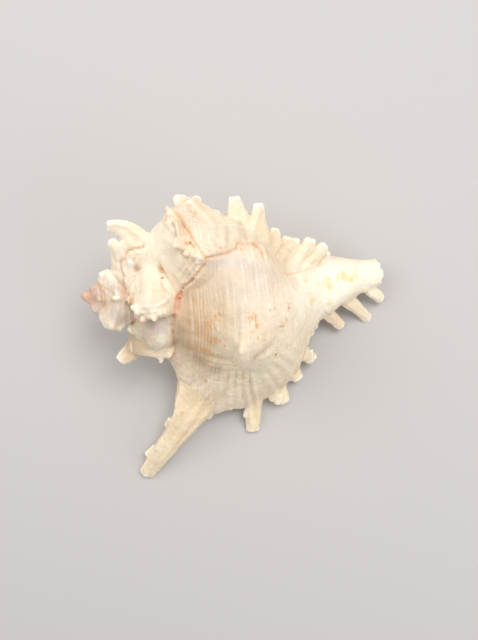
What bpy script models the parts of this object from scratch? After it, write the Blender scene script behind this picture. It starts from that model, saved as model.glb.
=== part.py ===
# A branched murex shell, the "conch shell" of the photograph, lying on its mouth.
#
# The shell grew as one piece, so it is one closed solid, named shell. Its whorls are a
# ring of fixed outline that winds about the coil axis and grows by the same factor in
# each turn. The old lips that stay on the shell as ribs, its spines, the knobs between
# the ribs and the canal are joined to the whorls. The mouth is open and leads into the
# last whorl.
#
# Shell places are (along, out, angle): along is the distance from the apex down the coil
# axis, out is the distance from that axis, and angle is the direction round it, with 0
# towards the outer lip (-Y), 90 up and 270 down. The shell grows as the angle falls.

import math

import bmesh
import bpy
from mathutils import Matrix, Vector

# Driving dimensions, in metres and degrees
WHORL_GROWTH = 2.0        # each whorl is this many times the one before it
WHORLS = 5.1              # turns from the first whorl to the lip
FIRST_WHORL = 0.0034      # radius of the blunt knob at the apex
LIP_ANGLE = -18.0         # where the outer lip stands round the axis
AXIS_TILT = 13.0          # how far the canal end dips when the shell rests
APEX = Vector((-0.0852, 0.0322, 0.0507))  # the apex in the part's own frame
MOUTH_DEPTH = 0.62        # turns that the hollow of the mouth goes in
HOLLOW_FLARE = 0.2        # share of a rib's flare that the hollow follows
HOLLOW_NARROWING = 0.45   # share of its width that the hollow loses on its way in
LIP_EDGE = ((0.007, 0.6), (0.012, 2.2))  # the lip's rounded edge: (turns forward, millimetres in)
STEPS_PER_TURN = 120           # rings in one turn
RING_DETAIL = 4           # points between two points of the ring's outline
VOXEL = 0.0013            # cell of the volume in which all lumps become one
KEEP_FACES = 0.093        # share of the faces that stay after thinning
GROUND_WIDTH = 0.4        # the block that cuts the resting ends flat
GROUND_DEPTH = 0.1
SHELL_COLOUR = (0.85, 0.73, 0.56)
SHELL_ROUGHNESS = 0.55

MM = 0.001

# The ring's outline between ribs, at the lip's size: (along, out) in millimetres, from
# the suture over the shoulder down to the canal.
PLAIN_OUTLINE = (
    (58.5, 25.5), (65, 33), (74, 41.5), (81.5, 48.5), (88, 53), (97, 54.5), (107, 54), (115, 51),
    (121.5, 44.5), (126.5, 36), (131, 27.5), (139, 19.5), (148, 14), (158, 10), (167, 7), (172, 5),
)
# The same points where the lip flares out in a rib.
FLARED_OUTLINE = (
    (52, 27), (47, 37), (48.5, 51), (55, 66), (67, 77), (82, 77), (96, 73.5), (108, 69),
    (117, 61), (123, 50), (127.5, 40), (131, 28.5), (141, 21), (152, 15.5), (163, 11.5), (172, 8),
)
# The side of the ring next to the axis, from the canal back to the suture.
AXIS_SIDE = (
    (169, 1.5), (148, 1), (120, 1), (95, 1.2), (80, 3), (70, 8), (63, 15), (59, 22),
)
# The hollow of the mouth, point for point beside the outlines above.
HOLLOW = (
    (69, 28), (73, 33), (80, 38), (89, 43), (97, 48), (105, 51), (112, 51), (118, 48),
    (123, 42), (126.5, 35), (128, 29), (128.5, 25), (128, 21), (126, 17.5), (122, 14.5), (116, 12.5),
    (110, 11.5), (104, 11), (98, 10.5), (92, 10.5), (86, 11.5), (80, 14), (74, 18.5), (70, 23.5),
)

# The ribs that old lips left: (angle of the front edge, angle of the crest, share of the
# lip's flare at the shoulder, the same at the base, angle by which the front edge runs
# ahead at the suture).
RIBS = (
    (LIP_ANGLE, LIP_ANGLE, 1.0, 1.0, 0), (113, 136, 0.85, 0.22, 42), (235, 244, 0.70, 0.25, 20),
    (346, 350, 0.95, 0.40, 16), (416, 430, 0.55, 0.25, 10), (500, 509, 1.05, 0.40, 42),
    (620, 628, 0.85, 0.40, 20), (733, 740, 1.50, 0.90, 16), (862, 869, 1.10, 0.50, 30),
    (980, 986, 0.90, 0.50, 20), (1095, 1101, 1.40, 0.90, 16), (1215, 1221, 1.10, 0.60, 16),
    (1335, 1341, 1.0, 0.60, 16), (1455, 1461, 1.0, 0.60, 16), (1575, 1581, 1.0, 0.60, 16),
    (1695, 1701, 1.0, 0.60, 16), (1815, 1821, 1.0, 0.60, 16),
)
RIB_RISE = 0.075          # turns over which a rib swells
RIB_DROP = 0.012          # turns over which it falls at its front edge
RIB_FADE = 6.0            # share that a rib loses from its crest to its front edge, per turn
RIB_FADE_MOST = 0.86      # the most that it loses on that way
RIB_CURVE = 1.4           # power of the swelling: higher is flatter at the crest
SHOULDER_POINT = 3.0      # outline point where a rib's shoulder ends
BASE_POINT = 6.5          # outline point where its base begins
AHEAD_POINT = 4.3         # outline point down to which the front edge runs ahead
# The knobs on the shoulder between ribs: (angle, height in millimetres at the lip's size).
KNOBS = (
    (49, 6.0), (176, 4.0), (290, 3.5), (384, 12.0), (450, 5.0), (562, 8.0), (680, 8.0), (800, 10.0),
    (920, 10.0), (1040, 12.0), (1155, 12.0), (1275, 12.0), (1395, 12.0),
)
KNOB_POINT = 3.9          # the outline point that carries the knobs
KNOB_SPREAD = 1.6         # outline points over which a knob fades
KNOB_TURNS = 0.045        # turns over which a knob fades

# The pillar and canal: (along, across, up, half width) in millimetres, across towards +Y.
CANAL = (
    (40, 0, 0, 8), (75, 0, 0, 10), (105, 0, -1, 11), (122, -1, -2, 14.5), (134, -4, -2, 17.5),
    (143, -3, -1.5, 15.5), (152, -1.8, -1, 12.5), (162, -0.6, -0.5, 10), (168, 0.2, 0, 9), (172, 0.6, 0, 8.4),
)
CANAL_FLATNESS = 0.8      # depth of the canal as a share of its width
CANAL_SIDES = 20

# Spines, root to tip, each as places (along, out, angle, half width).
LIP_SPINES = (
    ((68, 34, -22, 10), (62, 52, -17, 13), (58, 67, -16.5, 12.5), (52.5, 78, -17, 10),
     (43.8, 90.8, -18.5, 7.4), (36.3, 101.5, -20, 6.8), (27.6, 115.0, -22, 5.6)),
    ((93.5, 64, -15, 7.5), (93.5, 80, -18, 5.4), (93.3, 92.2, -18.5, 4.6)),
    ((106, 58, -15, 8), (110, 68, -18, 6.4), (113.2, 75.5, -18, 5.2)),
    ((115, 50, -15, 6), (119.5, 57.5, -18, 5.0), (122.5, 61.5, -17, 4.2)),
    ((120, 40, -15, 5.5), (126, 47, -18, 4.8), (130.7, 50.7, -17, 4.0)),
    ((130, 17, -15, 6), (140.5, 24.5, -20, 4.6), (150, 32, -24, 3.5)),
    ((142, 11, -15, 6), (156.5, 21, -22, 4.4), (167.5, 30, -27, 3.4)),
    ((156, 6, -15, 5), (166.5, 12.6, -19, 3.8), (175, 17.8, -24, 2.9)),
)
UPPER_SPINES = (
    ((66, 32, 126, 15), (58, 43, 134, 13), (54.5, 52, 141, 9.6)),
    ((82.5, 32, 128, 8.0), (82.6, 42, 137, 5.4), (81.8, 52, 142, 3.0)),
    ((93, 27, 128, 7.8), (94.5, 38, 138, 5.4), (94.8, 48, 142, 3.0)),
    ((101, 22, 130, 5.0), (103, 30, 138, 3.6), (104, 34, 142, 2.6)),
    ((106, 18, 134, 5.0), (110, 25, 140, 3.2), (111, 28, 142, 2.2)),
    ((111, 16, 134, 4.6), (115, 23, 140, 3.0), (116, 26.5, 142, 2.2)),
    ((118, 12, 136, 6.0), (123.5, 20, 140, 4.4), (126, 25, 142, 2.8)),
    ((121, 9, 138, 7.5), (129, 16, 142, 5.0), (135, 20.5, 144, 3.0)),
)
HIDDEN_SPINES = (
    ((48, 26, 238, 8.5), (45, 36, 243, 6.5), (42, 43, 247, 4.4)),
    ((64, 28, 238, 5.6), (64.5, 37, 245, 4.0), (65, 43, 249, 2.8)),
    ((75, 23, 238, 5.2), (76, 31, 245, 3.6), (77, 37, 249, 2.6)),
    ((84, 14, 238, 4.6), (88, 20, 242, 3.4), (91, 25, 244, 2.2)),
    ((92, 9, 236, 4.6), (97, 14, 240, 3.2), (101, 18, 240, 2.2)),
    ((101, 6, 230, 4.2), (107, 10.5, 230, 3.0), (112, 14, 228, 2.2)),
)
SPIRE_SPINES = (
    ((37, 20, 134, 9.5), (32, 30, 141, 8.5), (26.5, 35.6, 145, 5.8), (21, 38, 145, 4.4),
     (17.2, 38.2, 145, 3.2)),
    ((23, 18, 146, 7.0), (19.5, 27, 146, 4.2), (17.5, 31.5, 145, 2.2)),
    ((36, 18, -6, 9.0), (29, 27, -9, 6.6), (22.5, 33.2, -12, 4.8), (18, 36.3, -12, 3.6)),
    ((43, 24, 8, 5.0), (43, 32, 4, 3.4), (42, 36.5, 0, 2.0)),
)
SPINE_FLATNESS = 0.72     # depth of a spine as a share of its width
SPINE_SIDES = 10
SPINE_DETAIL = 4          # rings between two places of a spine
SPINE_END = 0.4           # length of the rounded end, as a share of the half width there
SPINE_END_WIDTH = 0.6     # width of the rounded end, as a share of the width there


def growth_at(angle):
    """Turns of growth at an angle round the axis: 0 at the lip, less towards the apex."""
    return -(angle - LIP_ANGLE) / 360.0


def shell_point(along, out, angle):
    """A place in the shell's own frame, apex at the origin, with lengths in millimetres."""
    turn = math.radians(angle)
    return Vector((along, -out * math.cos(turn), out * math.sin(turn))) * MM


def smooth_curve(points, detail, closed):
    """More points along a Catmull-Rom curve through the given ones."""
    vectors = [Vector(p) for p in points]
    count = len(vectors)
    spans = count if closed else count - 1
    curve = []
    for i in range(spans):
        if closed:
            a, b, c, d = (vectors[(i + k - 1) % count] for k in range(4))
        else:
            a, b, c, d = (vectors[min(max(i + k - 1, 0), count - 1)] for k in range(4))
        for j in range(detail):
            t = j / detail
            curve.append(0.5 * (2 * b + (c - a) * t + (2 * a - 5 * b + 4 * c - d) * t * t
                                + (3 * b - a - 3 * c + d) * t ** 3))
    if not closed:
        curve.append(vectors[-1])
    return curve


def blend(low, high, value):
    """0 up to low, 1 from high on, and smooth between."""
    t = min(max((value - low) / (high - low), 0.0), 1.0)
    return t * t * (3 - 2 * t)


def flare_at(growth, index):
    """How far an outline point has swollen towards the flared outline, from 0 to 1."""
    flare = 0.0
    base_share = blend(SHOULDER_POINT, BASE_POINT, index)
    for front_angle, crest_angle, shoulder, base, ahead in RIBS:
        front = growth_at(front_angle - ahead * (1 - blend(0, AHEAD_POINT, index)))
        crest = growth_at(crest_angle)
        level = shoulder + (base - shoulder) * base_share
        if growth <= crest:
            level *= math.exp(-((crest - growth) / RIB_RISE) ** RIB_CURVE)
        else:
            level *= 1 - min(RIB_FADE_MOST, RIB_FADE * (min(growth, front) - crest))
            level *= max(0.0, 1 - max(0.0, growth - front) / RIB_DROP)
        flare = max(flare, level)
    return flare


def knob_at(growth, index):
    """Height of the shoulder knobs at an outline point, in millimetres at the lip's size."""
    height = 0.0
    fade = math.exp(-((index - KNOB_POINT) / KNOB_SPREAD) ** 2)
    for angle, top in KNOBS:
        height += top * fade * math.exp(-((growth - growth_at(angle)) / KNOB_TURNS) ** 2)
    return height


PLAIN_RING = smooth_curve(PLAIN_OUTLINE + AXIS_SIDE, RING_DETAIL, True)
FLARED_RING = smooth_curve(FLARED_OUTLINE + AXIS_SIDE, RING_DETAIL, True)
HOLLOW_RING = smooth_curve(HOLLOW, RING_DETAIL, True)
OUTER_POINTS = (len(PLAIN_OUTLINE) - 1) * RING_DETAIL


def wall_ring(growth, inset=0.0):
    """The whorl's wall at one stage of growth; inset draws its edge in, in millimetres."""
    scale = WHORL_GROWTH ** growth
    angle = LIP_ANGLE - 360.0 * growth
    ring = []
    for i, (plain, flared) in enumerate(zip(PLAIN_RING, FLARED_RING)):
        index = i / RING_DETAIL
        point = plain.lerp(flared, flare_at(growth, index))
        if i <= OUTER_POINTS:
            point = point + Vector((0, knob_at(growth, index) - inset))
        ring.append(shell_point(point.x * scale, point.y * scale, angle))
    return ring


def hollow_ring(growth):
    """The hollow at one stage of growth: it narrows as it winds in from the mouth."""
    scale = WHORL_GROWTH ** growth
    angle = LIP_ANGLE - 360.0 * growth
    flare = HOLLOW_FLARE * flare_at(growth, BASE_POINT)
    narrowing = 1 - HOLLOW_NARROWING * min(1.0, -growth / MOUTH_DEPTH)
    middle = sum(HOLLOW_RING, Vector((0, 0))) / len(HOLLOW_RING)
    ring = []
    for i, point in enumerate(HOLLOW_RING):
        if i <= OUTER_POINTS:
            point = point + (FLARED_RING[i] - PLAIN_RING[i]) * flare
        point = middle + (point - middle) * narrowing
        ring.append(shell_point(point.x * scale, point.y * scale, angle))
    return ring


def loft(bm, rings):
    """A closed skin through rings of equal point count, capped at both ends."""
    loops = [[bm.verts.new(place) for place in ring] for ring in rings]
    for near, far in zip(loops, loops[1:]):
        for i in range(len(near)):
            j = (i + 1) % len(near)
            bm.faces.new((near[i], near[j], far[j], far[i]))
    bm.faces.new(reversed(loops[0]))
    bm.faces.new(loops[-1])


def oval_rings(centres, widths, flatness, flat_way, sides):
    """Oval rings round a curved middle line, thinner along flat_way."""
    rings = []
    for i, (centre, width) in enumerate(zip(centres, widths)):
        before = centres[max(i - 1, 0)]
        after = centres[min(i + 1, len(centres) - 1)]
        along = (after - before).normalized()
        thin = (flat_way - along * flat_way.dot(along)).normalized()
        wide = thin.cross(along)
        ring = []
        for k in range(sides):
            turn = 2 * math.pi * k / sides
            ring.append(centre + wide * (width * math.cos(turn)) + thin * (width * flatness * math.sin(turn)))
        rings.append(ring)
    return rings


def smooth_widths(places):
    """The half widths along a curve through places whose last value is the half width."""
    return [v.x * MM for v in smooth_curve([(place[3], 0) for place in places], SPINE_DETAIL, False)]


def new_object(name, bm, collection):
    """An object made from a bmesh whose faces are turned outwards."""
    bmesh.ops.recalc_face_normals(bm, faces=bm.faces)
    mesh = bpy.data.meshes.new(name)
    bm.to_mesh(mesh)
    bm.free()
    obj = bpy.data.objects.new(name, mesh)
    collection.objects.link(obj)
    return obj


def add_whorls(bm):
    """The winding wall from the first whorl to the lip and back into the hollow."""
    steps = round(WHORLS * STEPS_PER_TURN)
    rings = [wall_ring(-WHORLS + i / STEPS_PER_TURN) for i in range(steps + 1)]
    for forward, inset in LIP_EDGE:
        rings.append(wall_ring(forward, inset))
    mouth = LIP_EDGE[-1][0]
    depth_steps = round(MOUTH_DEPTH * STEPS_PER_TURN)
    rings += [hollow_ring(mouth - i / STEPS_PER_TURN) for i in range(depth_steps + 1)]
    loft(bm, rings)


def add_canal(bm):
    """The pillar inside the whorls, which runs out as the canal."""
    line = smooth_curve([place[:3] for place in CANAL], SPINE_DETAIL, False)
    widths = smooth_widths(CANAL)
    centres = [point * MM for point in line]
    loft(bm, oval_rings(centres, widths, CANAL_FLATNESS, Vector((0, 0, 1)), CANAL_SIDES))


def add_first_whorl(bm):
    """The blunt knob that the shell began with."""
    knob = bmesh.ops.create_uvsphere(bm, u_segments=12, v_segments=8, radius=FIRST_WHORL)
    bmesh.ops.translate(bm, vec=(FIRST_WHORL, 0, 0), verts=knob["verts"])


def add_spine(bm, places):
    """A blunt spine with an oval section along the curve through its places."""
    line = [shell_point(*place[:3]) for place in places]
    centres = smooth_curve(line, SPINE_DETAIL, False)
    widths = smooth_widths(places)
    centres.append(centres[-1] + (centres[-1] - centres[-2]).normalized() * widths[-1] * SPINE_END)
    widths.append(widths[-1] * SPINE_END_WIDTH)
    flat_way = shell_point(0, 1, places[1][2] + 90).normalized()
    loft(bm, oval_rings(centres, widths, SPINE_FLATNESS, flat_way, SPINE_SIDES))


def principled(name, colour, roughness):
    """A plain surface in one colour."""
    material = bpy.data.materials.new(name)
    material.use_nodes = True
    shader = material.node_tree.nodes["Principled BSDF"]
    shader.inputs["Base Color"].default_value = (*colour, 1)
    shader.inputs["Roughness"].default_value = roughness
    shader.inputs["Metallic"].default_value = 0
    return material


def add_ground(collection):
    """The block below the shell that flattens the ends it rests on."""
    bpy.ops.mesh.primitive_cube_add(size=1, location=(0, 0, -GROUND_DEPTH / 2))
    ground = bpy.context.object
    ground.name = "ground"
    ground.scale = (GROUND_WIDTH, GROUND_WIDTH, GROUND_DEPTH)
    bpy.ops.object.transform_apply(location=False, rotation=False, scale=True)
    ground.hide_render = True
    ground.display_type = "WIRE"
    for home in list(ground.users_collection):
        home.objects.unlink(ground)
    collection.objects.link(ground)
    return ground


def main():
    for old in list(bpy.data.objects):
        bpy.data.objects.remove(old)
    scene = bpy.context.scene
    shell_parts = bpy.data.collections.new("murex_shell")
    cutters = bpy.data.collections.new("cutters")
    scene.collection.children.link(shell_parts)
    scene.collection.children.link(cutters)

    bm = bmesh.new()
    add_whorls(bm)
    add_canal(bm)
    add_first_whorl(bm)
    for spine in LIP_SPINES + UPPER_SPINES + HIDDEN_SPINES + SPIRE_SPINES:
        add_spine(bm, spine)
    bmesh.ops.transform(bm, matrix=Matrix.Rotation(math.radians(AXIS_TILT), 4, "Y"), verts=bm.verts)
    bmesh.ops.translate(bm, vec=APEX, verts=bm.verts)
    shell = new_object("shell", bm, shell_parts)
    shell.data.materials.append(principled("shell", SHELL_COLOUR, SHELL_ROUGHNESS))

    fuse = shell.modifiers.new("one volume", "REMESH")
    fuse.mode = "VOXEL"
    fuse.voxel_size = VOXEL
    thin_out = shell.modifiers.new("fewer faces", "DECIMATE")
    thin_out.ratio = KEEP_FACES

    rest = shell.modifiers.new("worn flat where it rests", "BOOLEAN")
    rest.operation = "DIFFERENCE"
    rest.object = add_ground(cutters)


main()
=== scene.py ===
# %% [markdown]
# # A branched murex shell
# The object is one sea shell, a large murex, lying on its mouth. A snail built it by adding
# to the lip, so every whorl is the one before it, only larger. Three times in each turn the
# snail stopped and thickened the lip, and those old lips stay as spiny ribs. This file draws
# the shell the way it grew: one ring, turned and enlarged, then spines, then the fine relief.

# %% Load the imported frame
import math

import bmesh
import bpy
import numpy as np
from mathutils import Matrix, Vector
from mathutils.bvhtree import BVHTree


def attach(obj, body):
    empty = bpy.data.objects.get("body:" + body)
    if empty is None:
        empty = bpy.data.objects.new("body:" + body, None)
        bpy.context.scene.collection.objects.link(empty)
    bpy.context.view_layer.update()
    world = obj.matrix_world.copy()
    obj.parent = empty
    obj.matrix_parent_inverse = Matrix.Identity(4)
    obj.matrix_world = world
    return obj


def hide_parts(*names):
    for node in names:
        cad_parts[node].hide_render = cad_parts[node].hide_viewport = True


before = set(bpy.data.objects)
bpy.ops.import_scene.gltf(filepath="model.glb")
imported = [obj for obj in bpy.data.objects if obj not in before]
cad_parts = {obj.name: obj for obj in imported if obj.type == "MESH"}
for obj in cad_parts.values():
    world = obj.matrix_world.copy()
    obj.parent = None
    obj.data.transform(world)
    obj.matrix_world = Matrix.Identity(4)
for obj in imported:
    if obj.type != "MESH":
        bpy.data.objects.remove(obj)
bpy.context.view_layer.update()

MM = 0.001

# %% [markdown]
# ## The photograph's camera
# The photo looks straight down on the shell, so its camera can be settled before all else.
# Small forms and marks are placed by the pixel of the photo that shows them. A pixel is only
# a line of sight, so a place needs a height as well, or else the skin that the line meets
# first. Once it is placed, a mark belongs to the shell and looks right from every side.

# %% Lines of sight
CAMERA_PLACE = np.array((-3.3, 12.0, 362.0))    # in millimetres
CAMERA_TURN = math.radians(-5.6)
LENS = 33.0
SENSOR = 36.0
PHOTO_SIZE = np.array((478, 640))


def sight_line(u, v):
    """The way in which the camera sees a pixel of the photo, 1 mm down."""
    right, down = (np.array((u, v)) - PHOTO_SIZE / 2) / (PHOTO_SIZE.max() * LENS / SENSOR)
    return np.array((right * math.cos(CAMERA_TURN) + down * math.sin(CAMERA_TURN),
                     right * math.sin(CAMERA_TURN) - down * math.cos(CAMERA_TURN), -1.0))


def seen_at(u, v, height):
    """The place, in millimetres, that a pixel shows if it lies at a height above the ground."""
    return CAMERA_PLACE + sight_line(u, v) * (CAMERA_PLACE[2] - height)


print("middle of the photo on the ground, mm:", seen_at(*PHOTO_SIZE / 2, 0).round(1))

# %% [markdown]
# ## The growth law
# A shell's shape is set by very few numbers: how much each whorl outgrows the one before,
# the outline of the ring that winds, and where the axis points. Places are written as
# (along, out, angle): along the coil axis from the apex, out from that axis, and the angle
# round it, with 0 towards the lip and 90 up. The growth is 0 at the lip and -1 a whorl
# earlier, where everything has half the size.

# %% The law in numbers
WHORL_GROWTH = 2.0
WHORLS = 5.1
LIP_ANGLE = -18.0
AXIS_TILT = 13.0
APEX = np.array((-0.0852, 0.0322, 0.0507))
TILT = np.array(Matrix.Rotation(math.radians(AXIS_TILT), 3, "Y"))


def growth_at(angle):
    """Turns of growth at an angle round the axis."""
    return -(angle - LIP_ANGLE) / 360.0


def shell_points(along, out, angle):
    """Places in the shell's own terms, in millimetres and degrees, as points in metres."""
    along, out, turn = np.broadcast_arrays(along, out, np.radians(angle))
    local = np.stack([along, -out * np.cos(turn), out * np.sin(turn)], -1) * MM
    return local @ TILT.T + APEX


print("size of the first whorl as a share of the last:", round(WHORL_GROWTH ** -WHORLS, 3))

# %% Soft curves and soft steps
def smooth_curve(points, detail, closed):
    """More points along a Catmull-Rom curve through the given ones."""
    p = np.array(points, float)
    count = len(p)
    t = (np.arange(detail) / detail)[:, None]
    parts = []
    for i in range(count if closed else count - 1):
        near = [i + k - 1 for k in range(4)]
        a, b, c, d = (p[k % count] if closed else p[min(max(k, 0), count - 1)] for k in near)
        parts.append(0.5 * (2 * b + (c - a) * t + (2 * a - 5 * b + 4 * c - d) * t ** 2
                            + (3 * b - a - 3 * c + d) * t ** 3))
    if not closed:
        parts.append(p[-1:])
    return np.concatenate(parts)


def blend(low, high, value):
    """0 up to low, 1 from high on, and smooth between."""
    t = np.clip((value - low) / (high - low), 0, 1)
    return t * t * (3 - 2 * t)


print("a quarter of the way up a soft step:", blend(0, 1, 0.25))

# %% [markdown]
# ## The ring that winds
# The same ring is needed in two forms: plain, as it is between ribs, and flared, as it is
# at a rib, where the old lip spread outwards. Both have the same number of points, so any
# stage between them is a mix. The first sixteen points run from the suture, where a whorl
# meets the one before, over the shoulder to the canal; the rest lie hidden at the axis.

# %% Outlines of the ring
PLAIN_OUTLINE = (
    (58.5, 25.5), (65, 33), (74, 41.5), (81.5, 48.5), (88, 53), (97, 54.5), (107, 54), (115, 51),
    (121.5, 45.5), (127, 38), (132.5, 30.5), (140, 23), (148, 17), (158, 12), (167, 7), (172, 5),
)
FLARED_OUTLINE = (
    (52, 27), (47, 37), (48.5, 51), (55, 66), (67, 77), (82, 77), (96, 73.5), (108, 69),
    (117, 61), (123, 50), (127.5, 40), (131, 28.5), (141, 21), (152, 15.5), (163, 11.5), (172, 8),
)
AXIS_SIDE = (
    (169, 1.5), (148, 1), (120, 1), (95, 1.2), (80, 3), (70, 8), (63, 15), (59, 22),
)
HOLLOW = (
    (69, 28), (73, 33), (80, 38), (89, 43), (97, 48), (105, 51), (112, 51), (118, 48),
    (123, 42), (126.5, 35), (128, 29), (128.5, 25), (128, 21), (126, 17.5), (122, 14.5), (116, 12.5),
    (110, 11.5), (104, 11), (98, 10.5), (92, 10.5), (86, 11.5), (80, 14), (74, 18.5), (70, 23.5),
)
RING_DETAIL = 6
PLAIN_RING = smooth_curve(PLAIN_OUTLINE + AXIS_SIDE, RING_DETAIL, True)
FLARED_RING = smooth_curve(FLARED_OUTLINE + AXIS_SIDE, RING_DETAIL, True)
HOLLOW_RING = smooth_curve(HOLLOW, RING_DETAIL, True)
RING_POINTS = len(PLAIN_RING)
RING_INDEX = np.arange(RING_POINTS) / RING_DETAIL
OUTER = RING_INDEX <= len(PLAIN_OUTLINE) - 1
print("points in a ring:", RING_POINTS)

# %% [markdown]
# ## Ribs and knobs
# Each rib swells slowly and stops at a sharp front edge, because the lip thickened and then
# growth went on from inside it. The table gives, for each rib, the angles of its front edge
# and its crest, how much of the full flare it has at the shoulder and at the base, and how
# far its front edge runs ahead at the suture. Knobs are the low bumps on the shoulder
# between ribs.

# %% Where the ribs and the knobs stand
RIBS = (
    (LIP_ANGLE, LIP_ANGLE, 1.0, 1.0, 0), (113, 136, 0.85, 0.22, 42), (235, 244, 0.70, 0.25, 20),
    (346, 350, 0.95, 0.40, 16), (416, 430, 0.55, 0.25, 10), (500, 509, 1.05, 0.40, 42),
    (620, 628, 0.85, 0.40, 20), (733, 740, 1.50, 0.90, 16), (862, 869, 1.10, 0.50, 30),
    (980, 986, 0.90, 0.50, 20), (1095, 1101, 1.40, 0.90, 16), (1215, 1221, 1.10, 0.60, 16),
    (1335, 1341, 1.0, 0.60, 16), (1455, 1461, 1.0, 0.60, 16), (1575, 1581, 1.0, 0.60, 16),
    (1695, 1701, 1.0, 0.60, 16), (1815, 1821, 1.0, 0.60, 16),
)
HORN_RIB = 113            # the front angle of the rib with the large horn
# The front edge of that rib, which isn't straight: outline point and angle
HORN_FRONT = ((0, 79), (0.6, 83), (1.1, 87), (1.7, 91), (2.35, 95), (2.8, 99), (3.2, 104), (4.2, 107),
              (5.5, 112), (7, 114), (8.5, 110), (10, 108), (12, 106), (15, 106))
KNOBS = (
    (43, 7.0), (176, 4.0), (290, 3.5), (384, 9.0), (450, 5.0), (562, 8.0), (680, 8.0), (800, 10.0),
    (920, 10.0), (1040, 12.0), (1155, 12.0), (1275, 12.0), (1395, 12.0),
)
print("ribs:", len(RIBS), "knobs:", len(KNOBS))

# %% How far a rib swells and a knob rises
RIB_RISE = 0.075          # turns over which a rib swells
RIB_DROP = 0.007          # turns over which it falls at its front edge
RIB_FADE = 6.0            # share that it loses from its crest to its front edge, per turn
RIB_FADE_MOST = 0.86      # the most that it loses on that way
RIB_CURVE = 1.4           # power of the swelling: higher is flatter at the crest
HORN_FADE = 14.0          # the fade of the horn's rib, reached between these outline points
HORN_FADE_POINTS = (3.2, 4.6)
LIP_RISE = (0.075, 0.044)    # the rise of the lip before and after these outline points
LIP_RISE_POINTS = (1.5, 4.0)
SHOULDER_POINT = 3.0      # outline points where the shoulder ends and the base begins
BASE_POINT = 6.5
AHEAD_POINT = 4.3         # and down to which a front edge runs ahead
KNOB_POINT = 3.9          # the outline point that carries the knobs
KNOB_SPREAD = 1.6
KNOB_TURNS = 0.045


def flare_at(growth, index):
    """How far an outline point has swollen towards the flared outline, from 0 to 1."""
    base_share = blend(SHOULDER_POINT, BASE_POINT, index)
    most = np.zeros(np.broadcast(growth, index).shape)
    for front_angle, crest_angle, shoulder, base, ahead in RIBS:
        front = growth_at(front_angle - ahead * (1 - blend(0, AHEAD_POINT, index)))
        fade_rate, rise = RIB_FADE, RIB_RISE
        if front_angle == HORN_RIB:
            front = growth_at(np.interp(index, *np.array(HORN_FRONT).T))
            fade_rate = RIB_FADE + (HORN_FADE - RIB_FADE) * blend(*HORN_FADE_POINTS, index)
        if front_angle == LIP_ANGLE:
            rise = LIP_RISE[0] + (LIP_RISE[1] - LIP_RISE[0]) * blend(*LIP_RISE_POINTS, index)
        crest = growth_at(crest_angle)
        level = shoulder + (base - shoulder) * base_share
        behind = np.exp(-(np.maximum(crest - growth, 0) / rise) ** RIB_CURVE)
        fade = np.minimum(RIB_FADE_MOST, fade_rate * (np.minimum(growth, front) - crest))
        ahead_of = (1 - fade) * np.maximum(0, 1 - np.maximum(0, growth - front) / RIB_DROP)
        most = np.maximum(most, level * np.where(growth <= crest, behind, ahead_of))
    return most


def knob_at(growth, index):
    """Height of the shoulder knobs, in millimetres at the lip's size."""
    height = 0.0
    for angle, top in KNOBS:
        height = height + top * np.exp(-((growth - growth_at(angle)) / KNOB_TURNS) ** 2)
    return height * np.exp(-((index - KNOB_POINT) / KNOB_SPREAD) ** 2)


print("flare on the lip's shoulder:", flare_at(0.0, SHOULDER_POINT))

# %% [markdown]
# ## Winding the wall
# A Screw or Spin turns a profile, but it can't change the profile on the way, and this ring
# grows, flares and carries knobs. A grid has just the right faces: its rows become stages of
# growth and its columns run round the ring, so the grid is made by one operator and rolled
# up by giving each point the place that the growth law says. The same helper makes the
# whorls, the canal, the lobes and every spine. Each point also keeps what it is (its growth,
# its place on the ring, wall, spine or hollow), since relief and colours follow that.

# %% A tube from one rolled-up grid
MARKS = ("growth", "place", "wall", "spine", "inner")
raw = bmesh.new()
raw_places = []
raw_marks = {name: [] for name in MARKS}


def add_tube(rings, **marks):
    """A closed tube through rings of points, steps by points round."""
    steps, around = rings.shape[:2]
    bmesh.ops.create_grid(raw, x_segments=around, y_segments=steps + 1, size=MM)
    first, last = rings[:1].mean(1, keepdims=True), rings[-1:].mean(1, keepdims=True)
    closed = np.concatenate([np.repeat(first, around, 1), rings, np.repeat(last, around, 1)])
    raw_places.append(np.concatenate([closed, closed[:, :1]], 1).reshape(-1, 3))
    for name in MARKS:
        values = np.broadcast_to(marks.get(name, 0.0), (steps, around))
        values = np.concatenate([values[:1], values, values[-1:]])
        raw_marks[name].append(np.concatenate([values, values[:, :1]], 1).ravel())


print("values kept for each point:", ", ".join(MARKS))

# %% Rings of the wall and of the hollow behind the mouth
MOUTH_DEPTH = 0.62        # turns that the hollow goes in
HOLLOW_FLARE = 0.2        # share of a rib's flare that it follows
HOLLOW_NARROWING = 0.45   # share of its width that it loses on its way in
# How far the last part of the suture climbs up the whorl before it, (along, out), and where
CLIMB = (-8.3, 3.6)
CLIMB_FROM, CLIMB_FULL = -0.26, -0.15
CLIMB_EASE = 0.5
CLIMB_REACH = 3.0


def climb_at(growth):
    """How far the suture has climbed, from 0 to 1; the outline near it climbs along."""
    from_suture = np.minimum(RING_INDEX, RING_POINTS / RING_DETAIL - RING_INDEX)
    level = blend(CLIMB_FROM, CLIMB_FULL, growth)
    level = level * (1 - CLIMB_EASE * blend(CLIMB_FULL / 4, 0, growth))
    return level * (1 - blend(0, CLIMB_REACH, from_suture))


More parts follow.
